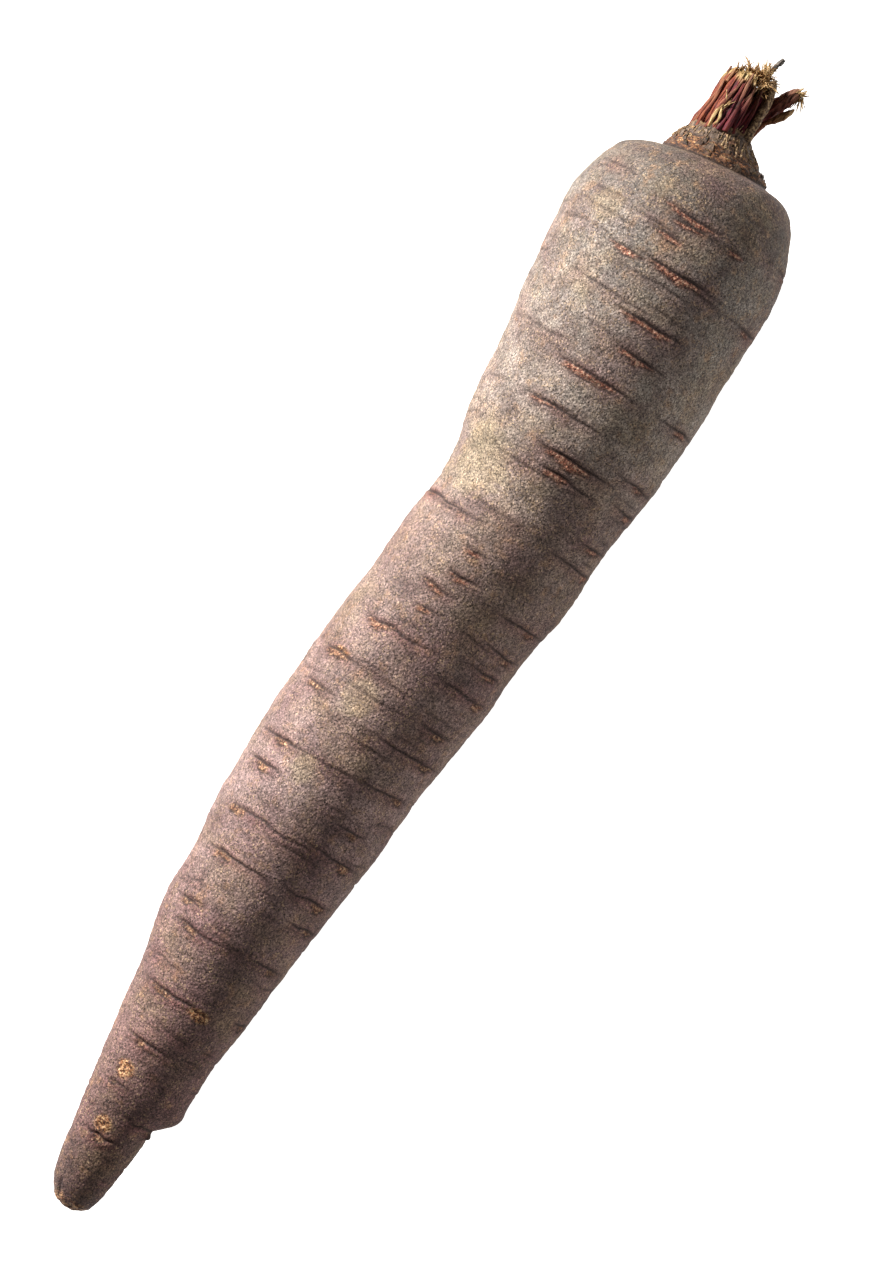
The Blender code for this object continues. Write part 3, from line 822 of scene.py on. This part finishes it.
def outer_stalk(row, stalks, material):
    """One withered leaf stalk: a ribbed slice of the bundle with curled edges and a torn top."""
    node, first, last, outer, ribs, warm, twist = row
    seed = first + 40
    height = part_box(node)[1].x - NECK.x
    arc = RIB_SIDES * ribs
    u = np.concatenate([np.linspace(0.0, 1.0, arc), np.linspace(1.0, 0.0, INNER_SIDES)])
    outside = np.concatenate([np.ones(arc, bool), np.zeros(INNER_SIDES, bool)])

    def drift(size_u, size_v, v, offset):
        return np.array([noise.noise((x / size_u, v / size_v, seed + offset)) for x in u.tolist()])

    torn = drift(0.22, 1.0, 0.0, 1.0) + 0.8 * drift(0.06, 1.0, 0.0, 4.0)
    edge = smooth_step(np.minimum(u, 1.0 - u), 0.0, 0.12)
    loops, dry, tint, painted_groove_shade = [], [], [], []
    for v in (np.arange(STALK_ROWS) / (STALK_ROWS - 1)).tolist():
        fold = drift(0.45, 0.55, v, 9.0)
        wander = u + 0.09 * drift(0.5, 0.45, v, 21.0) + 0.05 * drift(0.2, 0.3, v, 33.0)
        ripple = drift(0.10, 0.16, v, 3.0)
        ridge = np.abs(np.sin(math.pi * ribs * wander)) ** 0.7
        thread = np.abs(np.sin(math.pi * ribs * 3.3 * (wander + 0.02 * drift(0.3, 0.2, v, 5.0))))
        reach = outer * (1.0 - 0.13 * v * v + 0.04 * math.sin(math.pi * v))
        reach = reach + 0.75 * fold * (0.3 + 0.7 * v) - 0.6 * (1.0 - edge)
        ribbing = stalks.rib_depth / MM * (ridge - 1.0) + 0.10 * (thread - 1.0) + 0.16 * ripple
        reach = reach + np.where(outside, ribbing, 0.0)
        reach = reach - 0.9 * smooth_step(v, 0.82, 1.0) * smooth_step(torn, -0.2, 0.5)
        thickness = (1.15 - 0.55 * v) * (0.35 + 0.65 * edge)
        reach = np.where(outside, reach, reach - thickness)
        narrowed = 0.5 + (u - 0.5) * (1.0 - 0.16 * v * v)
        angle = np.radians(first + (last - first) * narrowed + twist * v * v)
        across = reach * MM * np.cos(angle)
        top = height * (0.90 + 0.16 * torn)
        x = NECK.x - 0.8 * MM - 0.34 * across * (1.0 - v) + (top + 0.8 * MM) * v
        y = NECK.y + across + 0.4 * MM * v
        z = NECK.z + reach * MM * np.sin(angle)
        loops.append(np.stack([x, y, z], axis=-1))
        dry.append(smooth_step(v + 0.14 * torn + 0.16 * fold, 0.86, 1.04) + 0.2 * (1.0 - edge) * v)
        tint.append(warm + 0.6 * fold + 0.25 * ripple)
        # Painted shade in the valleys between the ribs and over the whole inner face
        painted_groove_shade.append(np.where(outside, np.clip(1.1 - ridge, 0.0, 1.0) + 0.3 * (1.0 - thread), 0.7))
    attributes = {
        "dry": np.clip(np.array(dry), 0.0, 1.0),
        "warm": np.clip(np.array(tint), 0.0, 1.0),
        "painted_groove_shade": np.clip(np.array(painted_groove_shade), 0.0, 1.0),
    }
    piece = loft(node + "_stub", np.array(loops), attributes, material)
    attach(piece, "root")
    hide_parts(node)


def make_bundle_strips(material):
    """Shrunken strips of stalk that lie on the bundle and cover its seams."""
    chance = random.Random(3)
    parts = []
    for low, high, first, last, foot, top, width, warm, *dry in BUNDLE_STRIPS:
        knots = []
        sway = chance.uniform(-4, 4)
        for step in range(7):
            share = step / 6
            height = low + (high - low) * share
            turn = math.radians(first + (last - first) * share + sway * math.sin(5.0 * share))
            reach = foot + (top - foot) * share + 0.15 * math.sin(7.0 * share + sway)
            across = reach * math.cos(turn)
            place = (height - 0.33 * across * (1.0 - share), across + 0.4 * share, reach * math.sin(turn))
            swell = 1.0 + 0.2 * math.sin(9.0 * share + sway)
            knots.append((*place, width * (1.0 - 0.45 * share**2) * swell))
        parts.append(make_strand("strip", knots, 48, 18, material, warm, dry, 0.6, 0.8, 5, 0.25))
    strips = joined("bundle_strips", parts)
    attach(strips, "root")


def make_strand(
    name, knots, count, sides, material, warm, dry, squash=1.0, twist=0.0, ribs=0, rib_depth=0.0
):
    """Stalk or fibre along knots of place and radius, in mm from the middle of the neck."""
    path = curve_through(knots, count)
    places = path[:, :3] * MM + np.array(NECK)
    radii = np.maximum(path[:, 3], 0.02) * MM
    loops = spine_loops(places, radii, sides, squash, twist, ribs, rib_depth)
    bumps = grain(loops / MM, (1.6, 0.5, 0.5), len(name) + count)
    loops = loops + (loops - places[:, None, :]) * (0.22 * bumps)[..., None]
    way = np.linspace(0.0, 1.0, count)[:, None] * np.ones(loops.shape[:2])
    angles = 2.0 * math.pi * np.arange(sides) / sides
    valley = np.abs(np.cos(0.5 * ribs * angles)) if ribs else np.zeros(sides)
    attributes = {
        "dry": np.clip(dry[0] + (dry[1] - dry[0]) * way**2, 0.0, 1.0),
        "warm": np.full(loops.shape[:2], warm),
        # painted shade in the valleys between the ribs
        "painted_groove_shade": np.tile(0.6 * valley, (count, 1)),
    }
    return loft(name, loops, attributes, material)


def fibres(chance, origin, spread, way, length, radius, number, bend):
    """Knots of fine fibres that start round a place and curl away, in mm from the neck."""
    made = []
    for _ in range(number):
        start = [o + chance.uniform(-s, s) for o, s in zip(origin, spread)]
        heading = Vector([w + chance.uniform(-0.45, 0.45) for w in way]).normalized()
        curl = Vector([chance.uniform(-1, 1) for _ in range(3)])
        curl = (curl - heading * curl.dot(heading)).normalized() * bend * chance.uniform(0.4, 1.2)
        reach = length * chance.uniform(0.45, 1.15)
        thick = radius * chance.uniform(0.6, 1.3)
        knots = []
        for step in range(5):
            t = step / 4
            place = Vector(start) + heading * reach * t + curl * reach * t * t
            knots.append((*place, thick * (1.0 - 0.75 * t)))
        made.append(knots)
    return made


def make_tuft(stalks):
    """Young leaves dried to straw in the hollow of the bundle, with torn fibres on top."""
    chance = random.Random(5)
    material = stalk_material("Straw fibre, torn and weathered", stalks)
    parts = []
    core = [
        (0.2, -0.2, 0.0, 2.2),
        (5.0, 0.0, 0.0, 2.1),
        (9.0, 0.2, 0.1, 1.7),
        (11.5, 0.4, 0.2, 1.1),
        (12.6, 0.5, 0.3, 0.5),
    ]
    parts.append(make_strand("core", core, 40, 40, material, 0.15, (0.0, 0.5), ribs=9, rib_depth=0.3))
    knob = [(11.0, -0.9, 1.6, 0.3), (12.2, -0.9, 1.9, 0.62), (13.1, -1.0, 2.2, 0.66), (13.9, -1.1, 2.4, 0.30)]
    parts.append(make_strand("knob", knob, 16, 14, material, 0.6, (0.5, 0.6)))
    groups = (
        # origin, spread, direction, length, radius, number, curl
        ((11.2, 0.4, 1.0), (0.8, 1.4, 0.9), (1.0, 0.1, 0.3), 2.9, 0.24, 34, 0.9),
        ((10.8, -0.8, 1.9), (0.9, 1.3, 1.0), (0.9, -0.4, 0.6), 2.8, 0.26, 40, 1.2),
        ((10.9, 2.6, 1.9), (0.6, 1.4, 0.8), (0.8, 0.5, 0.4), 1.6, 0.22, 26, 0.9),
        ((11.6, -1.9, 1.8), (0.7, 0.8, 0.8), (0.9, -0.8, 0.5), 2.2, 0.26, 26, 1.2),
        ((9.6, -1.6, 3.1), (1.0, 0.9, 0.5), (0.6, -0.6, 0.5), 1.8, 0.24, 22, 1.0),
        ((2.6, 1.9, 4.9), (1.6, 0.4, 0.3), (1.0, -0.1, 0.12), 2.6, 0.20, 14, 0.4),
        ((11.0, 0.4, -1.0), (0.7, 1.6, 0.9), (1.0, 0.2, -0.4), 2.0, 0.22, 22, 0.9),
        ((12.4, -1.0, 1.7), (0.8, 0.9, 0.7), (1.0, -0.25, 0.3), 2.3, 0.24, 30, 1.0),
    )
    for group in groups:
        for knots in fibres(chance, *group):
            dry = chance.uniform(0.55, 1.0)
            flat = chance.uniform(0.3, 0.9)
            turn = chance.uniform(-2.5, 2.5)
            parts.append(make_strand("fibre", knots, 10, 6, material, 0.7, (dry, dry), flat, turn))
    tuft = joined("dried_tuft", parts)
    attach(tuft, "root")
    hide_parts("heart_stalks")


def make_side_stalks(stalks):
    """Thin stalks and a shred beside the bundle, each with its own bend, and all but the shred with frayed
    ends.
    """
    chance = random.Random(11)
    materials = {
        "red": stalk_material("Purple leaf stalk, withered on the root, thin", stalks),
        "brown": weathered_material(*WEATHERED_BROWN),
        "grey": weathered_material(*WEATHERED_GREY),
    }
    for row in SIDE_STALKS:
        node, name, finish, kind, knots, count, sides, surface, look, ends = row
        material = materials[surface]
        parts = [make_strand(kind, knots, count, sides, material, *look)]
        for group, end_count, warm, dry in ends:
            for end in fibres(chance, *group):
                parts.append(make_strand("end", end, end_count, 5, material, warm, dry))
        piece = joined(name, parts)
        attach(piece, "root")
        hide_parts(node)


# ---------------------------------------------------------------- materials


def add_node(tree, kind, sockets=None, stops=None, **settings):
    """Add a node with its settings and ramp stops. A socket takes a value or another's output."""
    node = tree.nodes.new("ShaderNode" + kind)
    for name, value in settings.items():
        setattr(node, name, value)
    for name, value in (sockets or {}).items():
        if isinstance(value, bpy.types.NodeSocket):
            tree.links.new(value, node.inputs[name])
        else:
            node.inputs[name].default_value = value
    if stops:
        ramp = node.color_ramp.elements
        ramp.remove(ramp[1])
        stops = [(place, rgba(colour)) for place, colour in stops]
        ramp[0].position, ramp[0].color = stops[0]
        for place, colour in stops[1:]:
            ramp.new(place).color = colour
    return node


def start_material(name, roughness, ior):
    """New material with its Principled shader's plain values set."""
    material = bpy.data.materials.new(name)
    material.use_nodes = True
    tree = material.node_tree
    shader = tree.nodes["Principled BSDF"]
    shader.inputs["Roughness"].default_value = roughness
    shader.inputs["IOR"].default_value = ior
    shader.inputs["Metallic"].default_value = 0.0
    return material, tree, shader


def rgba(colour):
    """Linear RGBA of an sRGB hex colour, of a linear grey or of a colour setting."""
    if isinstance(colour, str):
        return linear(colour)
    return (colour, colour, colour, 1.0) if isinstance(colour, float) else tuple(colour)


def in_millimetres(tree):
    place = add_node(tree, "TexCoord").outputs["Object"]
    return add_node(tree, "VectorMath", {0: place, 3: 1000.0}, operation="SCALE").outputs[0]


def lay_colours(tree, colour, layers):
    """Lay colours over one another. Each layer is how it blends, how much shows, and its colour."""
    for blend, amount, over in layers:
        over = linear(over) if isinstance(over, str) else over
        mix = add_node(tree, "Mix", {0: amount, 6: colour, 7: over}, data_type="RGBA", blend_type=blend)
        colour = mix.outputs[2]
    return colour


def give_surface(tree, shader, colour, height, strength, distance):
    """Give the shader its colour and the relief that is too fine for the mesh, distance in mm."""
    tree.links.new(colour, shader.inputs["Base Color"])
    sockets = {"Strength": strength, "Distance": distance * MM, "Height": height}
    tree.links.new(add_node(tree, "Bump", sockets).outputs[0], shader.inputs["Normal"])


def skin_material(skin):
    """Carrot skin, dried and brushed clean: a matt cork layer, grainy, blotched by its pigment."""
    material, tree, shader = start_material("Purple carrot skin, dried and brushed", 0.66, 1.45)
    place = in_millimetres(tree)
    x = add_node(tree, "SeparateXYZ", {0: place}).outputs[0]
    ends = {"From Min": ROOT_LOW.x / MM, "From Max": ROOT_HIGH.x / MM}
    along = add_node(tree, "MapRange", {"Value": x, **ends}).outputs[0]
    grains = add_node(tree, "TexVoronoi", {"Vector": place, "Scale": 1.0 / GRAIN_SIZE})
    chance = add_node(tree, "SeparateXYZ", {0: grains.outputs["Color"]})
    pebbles = add_node(tree, "TexVoronoi", {"Vector": place, "Scale": 1.0 / PEBBLE_SIZE})
    sockets = {"Vector": place, "Scale": 1.0 / 0.6, "Detail": 3.0, "Roughness": 0.7}
    fine = add_node(tree, "TexNoise", sockets).outputs[0]
    banded = add_node(tree, "Mapping", {0: place, "Scale": (1.9, 0.8, 0.8)}).outputs[0]
    sockets = {"Vector": banded, "Scale": 1.0 / 0.9, "Detail": 4.0, "Roughness": 0.75}
    bands = add_node(tree, "TexNoise", sockets).outputs[0]

    # How much shows of each noise, mark and kind of grain
    ranges = [
        ("upper", along, 0.45, 0.62, 1.0),
        ("off_tip", along, 0.15, 0.55, 1.0),
        ("painted_pebble_gap_shade", pebbles.outputs["Distance"], 0.45, 0.85, 0.40),
        ("tan_grains", chance.outputs[1], 0.72, 0.84, 0.60),
        ("dark_grains", chance.outputs[2], 0.82, 0.90, 0.55),
    ]
    for name, size, seed, detail, rough, low, high, most in SKIN_NOISE:
        sockets = {"Vector": place, "W": seed, "Scale": 1.0 / size, "Detail": detail, "Roughness": rough}
        spot = add_node(tree, "TexNoise", sockets, noise_dimensions="4D").outputs[0]
        ranges.append((name, spot, low, high, most))
    for name, most in SKIN_MARKS:
        mark = add_node(tree, "Attribute", attribute_name=name).outputs["Fac"]
        ranges.append((name, mark, 0.0, 1.0, most))
    shown = {}
    for name, source, low, high, most in ranges:
        sockets = {"Value": source, "From Min": low, "From Max": high, "To Max": most}
        shown[name] = add_node(tree, "MapRange", sockets).outputs[0]
    for name, other in (("tan_grains", "dust"), ("olive", "off_tip")):
        both = {0: shown[name], 1: shown[other]}
        shown[name] = add_node(tree, "Math", both, operation="MULTIPLY").outputs[0]

    base = (
        (0.0, "#56423e"), (0.05, "#684e48"), (0.12, skin.tip_colour), (0.21, "#7f645e"), (0.35, "#9c827c"),
        (0.60, "#8f786e"), (0.80, skin.crown_colour), (0.88, "#897f76"), (0.94, "#695e54"), (1.0, "#5f554d"),
    )
    scaly = ((0.36, "#150d0a"), (0.46, "#452e20"), (0.54, "#7a4c2c"), (0.61, "#97704a"), (0.72, "#d0b184"))
    ramps = {}
    for name, source, stops in (
        ("base", along, base),
        ("speckle", chance.outputs[0], ((0.0, 0.12), (0.2, 0.32), (0.5, 0.48), (0.8, 0.60), (1.0, 0.88))),
        ("clouds", shown["cloud"], ((0.15, 0.20), (0.5, 0.47), (0.85, 0.76))),
        ("broads", shown["broad"], ((0.1, 0.26), (0.5, 0.47), (0.9, 0.72))),
        ("rusty", shown["cork_noise"], ((0.15, "#43231a"), (0.45, "#9c6049"), (0.85, "#d2a88c"))),
        ("tawny", shown["cork_noise"], ((0.15, "#38221a"), (0.45, "#85583f"), (0.85, "#c9a27c"))),
        ("gilt", shown["gold_noise"], ((0.20, "#36201a"), (0.48, "#9a6238"), (0.80, "#e6bb8a"))),
        ("scaly", bands, scaly),
    ):
        ramps[name] = add_node(tree, "ValToRGB", {0: source}, stops).outputs[0]
    cork_colour = lay_colours(tree, ramps["tawny"], [("MIX", shown["upper"], ramps["rusty"])])
    painted = (
        ("ochre", "#a38b66"),
        ("wine", "#6c4a4c"),
        ("olive", "#7d6f58"),
        ("umber", "#5c4540"),
        ("rust", "#b0845c"),
        ("pale", "#b3a07b"),
        # darker streak, partly pigment and partly painted shade along the core shadow
        ("pigment_and_painted_shade_streak", "#40282a"),
        ("blush", "#7c403b"),
        ("tan_grains", "#b39672"),
        ("dark_grains", "#3b2a27"),
        ("gold", ramps["gilt"]),
        ("tip", ramps["gilt"]),
        ("collar", ramps["scaly"]),
        ("calm", "#6a5c50"),
        ("cork", cork_colour),
        # painted shade in the low gaps between the pebbles of the cork layer
        ("painted_pebble_gap_shade", "#4a3832"),
    )
    layers = [("MIX", shown[name], over) for name, over in painted]
    layers += [("OVERLAY", 0.30, ramps["clouds"]), ("OVERLAY", 0.35, ramps["broads"])]
    # Painted shade in the creases, grooves and crack, and the dark colour of the wart
    layers += [("OVERLAY", 1.00, ramps["speckle"]), ("MIX", shown["crease_shade_and_dark_wart"], "#251816")]
    colour = lay_colours(tree, ramps["base"], layers)
    sockets = {"Value": fine, "From Min": 0.3, "From Max": 0.7, "To Min": 0.6, "To Max": 0.85}
    tree.links.new(add_node(tree, "MapRange", sockets).outputs[0], shader.inputs["Roughness"])
    shader.inputs["Specular IOR Level"].default_value = 0.35  # dust dulls the shine
    sockets = {0: pebbles.outputs["Distance"], 1: -0.45, 2: fine}
    lumps = add_node(tree, "Math", sockets, operation="MULTIPLY_ADD").outputs[0]
    give_surface(tree, shader, colour, lumps, 1.0, 0.20)
    return material


def sheath_material():
    """Leaf sheath, dried to thin paper: brown with a straw edge, matt and ragged."""
    material, tree, shader = start_material("Leaf sheath, dried to paper", 0.8, 1.45)
    shade, rim = (
        add_node(tree, "Attribute", attribute_name=name).outputs["Fac"] for name in ("shade", "rim")
    )
    streak = add_node(tree, "Mapping", {0: in_millimetres(tree), "Scale": (0.5, 1.0, 1.0)}).outputs[0]
    sockets = {"Vector": streak, "Scale": 1.0 / 0.45, "Detail": 3.0, "Roughness": 0.65}
    fine = add_node(tree, "TexNoise", sockets).outputs[0]
    stops = ((0.0, "#35241a"), (0.35, "#553b29"), (0.6, "#665546"), (0.8, "#754e37"), (1.0, "#967550"))
    base = add_node(tree, "ValToRGB", {0: shade}, stops).outputs[0]
    stops = ((0.34, 0.06), (0.5, 0.42), (0.66, 0.95))
    speckle = add_node(tree, "ValToRGB", {0: fine}, stops).outputs[0]
    sockets = {"Value": rim, "From Min": 0.8, "From Max": 1.1, "To Max": 0.45}
    edge = add_node(tree, "MapRange", sockets).outputs[0]
    colour = lay_colours(tree, base, [("OVERLAY", 1.0, speckle), ("MIX", edge, "#a5854f")])
    give_surface(tree, shader, colour, fine, 0.6, 0.12)
    return material


def stalk_material(name, stalks):
    """Leaf stalk, withered as it dried: dull ribs, crimson to copper, straw where it tore, with painted shade
    in the grooves between the ribs and on the inner face.
    """
    material, tree, shader = start_material(name, 0.7, 1.45)
    streaked = add_node(tree, "Mapping", {0: in_millimetres(tree), "Scale": (0.16, 1.0, 1.0)}).outputs[0]
    sockets = {"Vector": streaked, "Scale": 1.0 / 0.42, "Detail": 4.0, "Roughness": 0.65}
    streak = add_node(tree, "TexNoise", sockets).outputs[0]
    sockets = {"Vector": streaked, "Scale": 1.0 / 1.3, "Detail": 2.0}
    broad = add_node(tree, "TexNoise", sockets).outputs[0]
    warm, dry, painted_groove_shade = (
        add_node(tree, "Attribute", attribute_name=mark).outputs["Fac"] for mark in ("warm", "dry", "painted_groove_shade")
    )
    red, copper, straw = (
        add_node(tree, "ValToRGB", {0: streak}, stops).outputs[0]
        for stops in (
            ((0.32, "#22090d"), (0.45, "#541521"), (0.57, stalks.red_colour), (0.74, "#8a3028")),
            ((0.32, "#3c1113"), (0.45, "#702d1e"), (0.57, stalks.copper_colour), (0.74, "#b0683a")),
            ((0.30, "#4f3a22"), (0.45, "#9c7a4a"), (0.56, stalks.straw_colour), (0.70, "#e6d3a4")),
        )
    )
    swayed = add_node(tree, "Math", {0: warm, 1: broad}, operation="ADD").outputs[0]
    sockets = {"Value": swayed, "From Min": 0.62, "From Max": 1.15}
    amount = add_node(tree, "MapRange", sockets).outputs[0]
    # Painted shade in the grooves and on the inner face
    shadow = add_node(tree, "Math", {0: painted_groove_shade, 1: 0.75}, operation="MULTIPLY").outputs[0]
    layers = [("MIX", amount, copper), ("MIX", shadow, "#260d0f"), ("MIX", dry, straw)]
    shader.inputs["Specular IOR Level"].default_value = 0.3  # dried fibres are dull
    give_surface(tree, shader, lay_colours(tree, red, layers), streak, 0.6, 0.12)
    return material


def weathered_material(name, flecks, dry_colour):
    """Leaf stalk, weathered on the root: bark-like flecks over a matt surface with no shine.

    The stalks and the fibres of one colour share their material.
    """
    if name in bpy.data.materials:
        return bpy.data.materials[name]
    material, tree, shader = start_material(name, 0.78, 1.45)
    sockets = {"Vector": in_millimetres(tree), "Scale": 1.0 / 0.5, "Detail": 3.0, "Roughness": 0.7}
    fine = add_node(tree, "TexNoise", sockets).outputs[0]
    base = add_node(tree, "ValToRGB", {0: fine}, tuple(zip((0.36, 0.46, 0.56, 0.66), flecks))).outputs[0]
    dry = add_node(tree, "Attribute", attribute_name="dry").outputs["Fac"]
    straw = add_node(tree, "Math", {0: dry, 1: 0.40}, operation="MULTIPLY").outputs[0]
    give_surface(tree, shader, lay_colours(tree, base, [("MIX", straw, dry_colour)]), fine, 0.7, 0.14)
    return material


# ---------------------------------------------------------------- stage


def make_stage(stage):
    """Pale glowing table, one large low key light, a weak fill and the overhead camera."""
    scene = bpy.context.scene
    mesh = bpy.data.meshes.new("pale_floor")
    corners = [(x * TABLE_HALF, y * TABLE_HALF, -TABLE_GAP) for x, y in ((-1, -1), (1, -1), (1, 1), (-1, 1))]
    mesh.from_pydata(corners, [], [(0, 1, 2, 3)])
    material, tree, shader = start_material("Studio table, white laminate", 0.6, 1.45)
    shader.inputs["Base Color"].default_value = tuple(stage.floor_colour)
    shader.inputs["Emission Color"].default_value = rgba(1.0)
    seen = add_node(tree, "LightPath").outputs["Is Camera Ray"]
    sockets = {"Value": seen, "To Min": stage.floor_glow, "To Max": 0.95}
    tree.links.new(add_node(tree, "MapRange", sockets).outputs[0], shader.inputs["Emission Strength"])
    mesh.materials.append(material)
    floor = bpy.data.objects.new("pale_floor", mesh)
    scene.collection.objects.link(floor)

    world = bpy.data.worlds.new("studio_air")
    world.use_nodes = True
    tree = world.node_tree
    air = tree.nodes["Background"]
    seen = add_node(tree, "LightPath").outputs["Is Camera Ray"]
    sockets = {"Value": seen, "To Min": stage.air_light, "To Max": 1.0}
    tree.links.new(add_node(tree, "MapRange", sockets).outputs[0], air.inputs["Strength"])
    air.inputs["Color"].default_value = rgba(1.0)
    scene.world = world

    for name, power, size, elevation, heading, distance in (
        ("key_light", stage.key_power, 0.45, stage.key_elevation, stage.key_heading, 2.0),
        ("fill_light", stage.fill_power, 0.6, math.radians(26), math.radians(-75), 1.2),
    ):
        light = bpy.data.lights.new(name, "AREA")
        light.energy = power
        light.size = size
        lamp = bpy.data.objects.new(name, light)
        flat = math.cos(elevation)
        way = Vector((flat * math.cos(heading), flat * math.sin(heading), math.sin(elevation)))
        lamp.location = way * distance
        lamp.rotation_mode = "QUATERNION"
        lamp.rotation_quaternion = way.to_track_quat("Z", "Y")
        lamp.visible_camera = False
        scene.collection.objects.link(lamp)

    camera = bpy.data.cameras.new("camera")
    camera.sensor_fit = "AUTO"
    camera.sensor_width = 36.0
    camera.lens = 150.0
    camera.clip_start = 0.01
    camera.clip_end = 50.0
    seat = bpy.data.objects.new("camera", camera)
    seat.location = Vector(CAMERA_PLACE) * MM
    seat.rotation_euler = (0.0, 0.0, math.radians(CAMERA_TURN))
    scene.collection.objects.link(seat)
    scene.camera = seat
    scene.view_settings.view_transform = "Standard"


# ---------------------------------------------------------------- add-on


def colour_property(name, description, default):
    return bpy.props.FloatVectorProperty(
        name=name, description=description, default=linear(default), size=4, subtype="COLOR", min=0, max=1
    )


class CarrotSkinSettings(bpy.types.PropertyGroup):
    scar_depth: bpy.props.FloatProperty(
        name="Scar depth",
        description="Depth of a deep crease",
        default=DEEP_CREASE * MM,
        min=0.0,
        max=1.0 * MM,
        precision=6,
        unit="LENGTH",
    )
    wrinkle_height: bpy.props.FloatProperty(
        name="Wrinkle height",
        description="Height of the fine wrinkles that run round the root",
        default=0.085 * MM,
        min=0.0,
        precision=6,
        unit="LENGTH",
    )
    tip_colour: colour_property("Tip colour", "Skin near the tip", "#80625c")
    crown_colour: colour_property("Crown colour", "Skin near the crown", "#9f9387")


class CarrotStalkSettings(bpy.types.PropertyGroup):
    rib_depth: bpy.props.FloatProperty(
        name="Rib depth",
        description="Depth of the grooves between the ribs of the outer stalks",
        default=0.42 * MM,
        min=0.0,
        precision=6,
        unit="LENGTH",
    )
    red_colour: colour_property("Red", "Ribs of the red stalks", "#701c28")
    copper_colour: colour_property("Copper", "Ribs of the copper stalks", "#8c4224")
    straw_colour: colour_property("Straw", "Torn fibres", "#cdb07c")


class CarrotStageSettings(bpy.types.PropertyGroup):
    floor_colour: colour_property("Floor colour", "Table under the carrot", "#f4f2ef")
    floor_glow: bpy.props.FloatProperty(
        name="Floor glow",
        description="Light that the table throws on the carrot",
        default=0.36,
        min=0.0,
        max=1.0,
        subtype="FACTOR",
    )
    air_light: bpy.props.FloatProperty(
        name="Air light",
        description="Light from all round",
        default=0.09,
        min=0.0,
        max=1.0,
        subtype="FACTOR",
    )
    key_power: bpy.props.FloatProperty(
        name="Key power", description="Power of the main light", default=104.0, min=0.0, subtype="POWER"
    )
    fill_power: bpy.props.FloatProperty(
        name="Fill power", description="Power of the weak light", default=4.1, min=0.0, subtype="POWER"
    )
    key_elevation: bpy.props.FloatProperty(
        name="Key elevation",
        description="Angle of the main light above the table",
        default=math.radians(20.0),
        subtype="ANGLE",
    )
    key_heading: bpy.props.FloatProperty(
        name="Key heading",
        description="Direction of the main light round the carrot, from +X",
        default=math.radians(75.5),
        subtype="ANGLE",
    )


class CARROT_OT_root(bpy.types.Operator):
    """Make the root's skin"""

    bl_idname = "carrot.root"
    bl_label = "Root Skin"

    def execute(self, context):
        make_root_skin(context.scene.carrot_skin)
        return {"FINISHED"}


class CARROT_OT_collar(bpy.types.Operator):
    """Make the papery scales and the cuff on the collar"""

    bl_idname = "carrot.collar"
    bl_label = "Collar"

    def execute(self, context):
        make_collar(bpy.data.objects["root_skin"])
        return {"FINISHED"}


class CARROT_OT_outer_stalks(bpy.types.Operator):
    """Make the ribbed leaf stalks of the bundle"""

    bl_idname = "carrot.outer_stalks"
    bl_label = "Outer Stalks"

    def execute(self, context):
        stalks = context.scene.carrot_stalks
        material = stalk_material("Purple leaf stalk, withered on the root", stalks)
        for row in OUTER_STALKS:
            outer_stalk(row, stalks, material)
        make_bundle_strips(material)
        return {"FINISHED"}


class CARROT_OT_tuft(bpy.types.Operator):
    """Make the straw-like tuft in the middle of the bundle"""

    bl_idname = "carrot.tuft"
    bl_label = "Dried Tuft"

    def execute(self, context):
        make_tuft(context.scene.carrot_stalks)
        return {"FINISHED"}


class CARROT_OT_side_stalks(bpy.types.Operator):
    """Make the thin stalks and shreds beside the bundle"""

    bl_idname = "carrot.side_stalks"
    bl_label = "Side Stalks"

    def execute(self, context):
        make_side_stalks(context.scene.carrot_stalks)
        return {"FINISHED"}


class CARROT_OT_stage(bpy.types.Operator):
    """Make the table, the lights and the camera"""

    bl_idname = "carrot.stage"
    bl_label = "Stage"

    def execute(self, context):
        make_stage(context.scene.carrot_stage)
        return {"FINISHED"}


OPERATORS = (
    CARROT_OT_root,
    CARROT_OT_collar,
    CARROT_OT_outer_stalks,
    CARROT_OT_tuft,
    CARROT_OT_side_stalks,
    CARROT_OT_stage,
)


class CARROT_PT_build(bpy.types.Panel):
    """Lists the carrot's pieces"""

    bl_idname = "CARROT_PT_build"
    bl_label = "Carrot"
    bl_space_type = "VIEW_3D"
    bl_region_type = "UI"
    bl_category = "Carrot"

    def draw(self, context):
        for operator in OPERATORS:
            self.layout.operator(operator.bl_idname)


SETTINGS = {
    "carrot_skin": CarrotSkinSettings,
    "carrot_stalks": CarrotStalkSettings,
    "carrot_stage": CarrotStageSettings,
}
CLASSES = (*SETTINGS.values(), *OPERATORS, CARROT_PT_build)


def register():
    for cls in CLASSES:
        bpy.utils.register_class(cls)
    for name, settings in SETTINGS.items():
        setattr(bpy.types.Scene, name, bpy.props.PointerProperty(type=settings))


def unregister():
    for name in SETTINGS:
        delattr(bpy.types.Scene, name)
    for cls in reversed(CLASSES):
        bpy.utils.unregister_class(cls)


def main():
    register()
    bpy.ops.carrot.root()
    bpy.ops.carrot.collar()
    bpy.ops.carrot.outer_stalks()
    bpy.ops.carrot.tuft()
    bpy.ops.carrot.side_stalks()
    bpy.ops.carrot.stage()


if __name__ == "__main__":
    main()
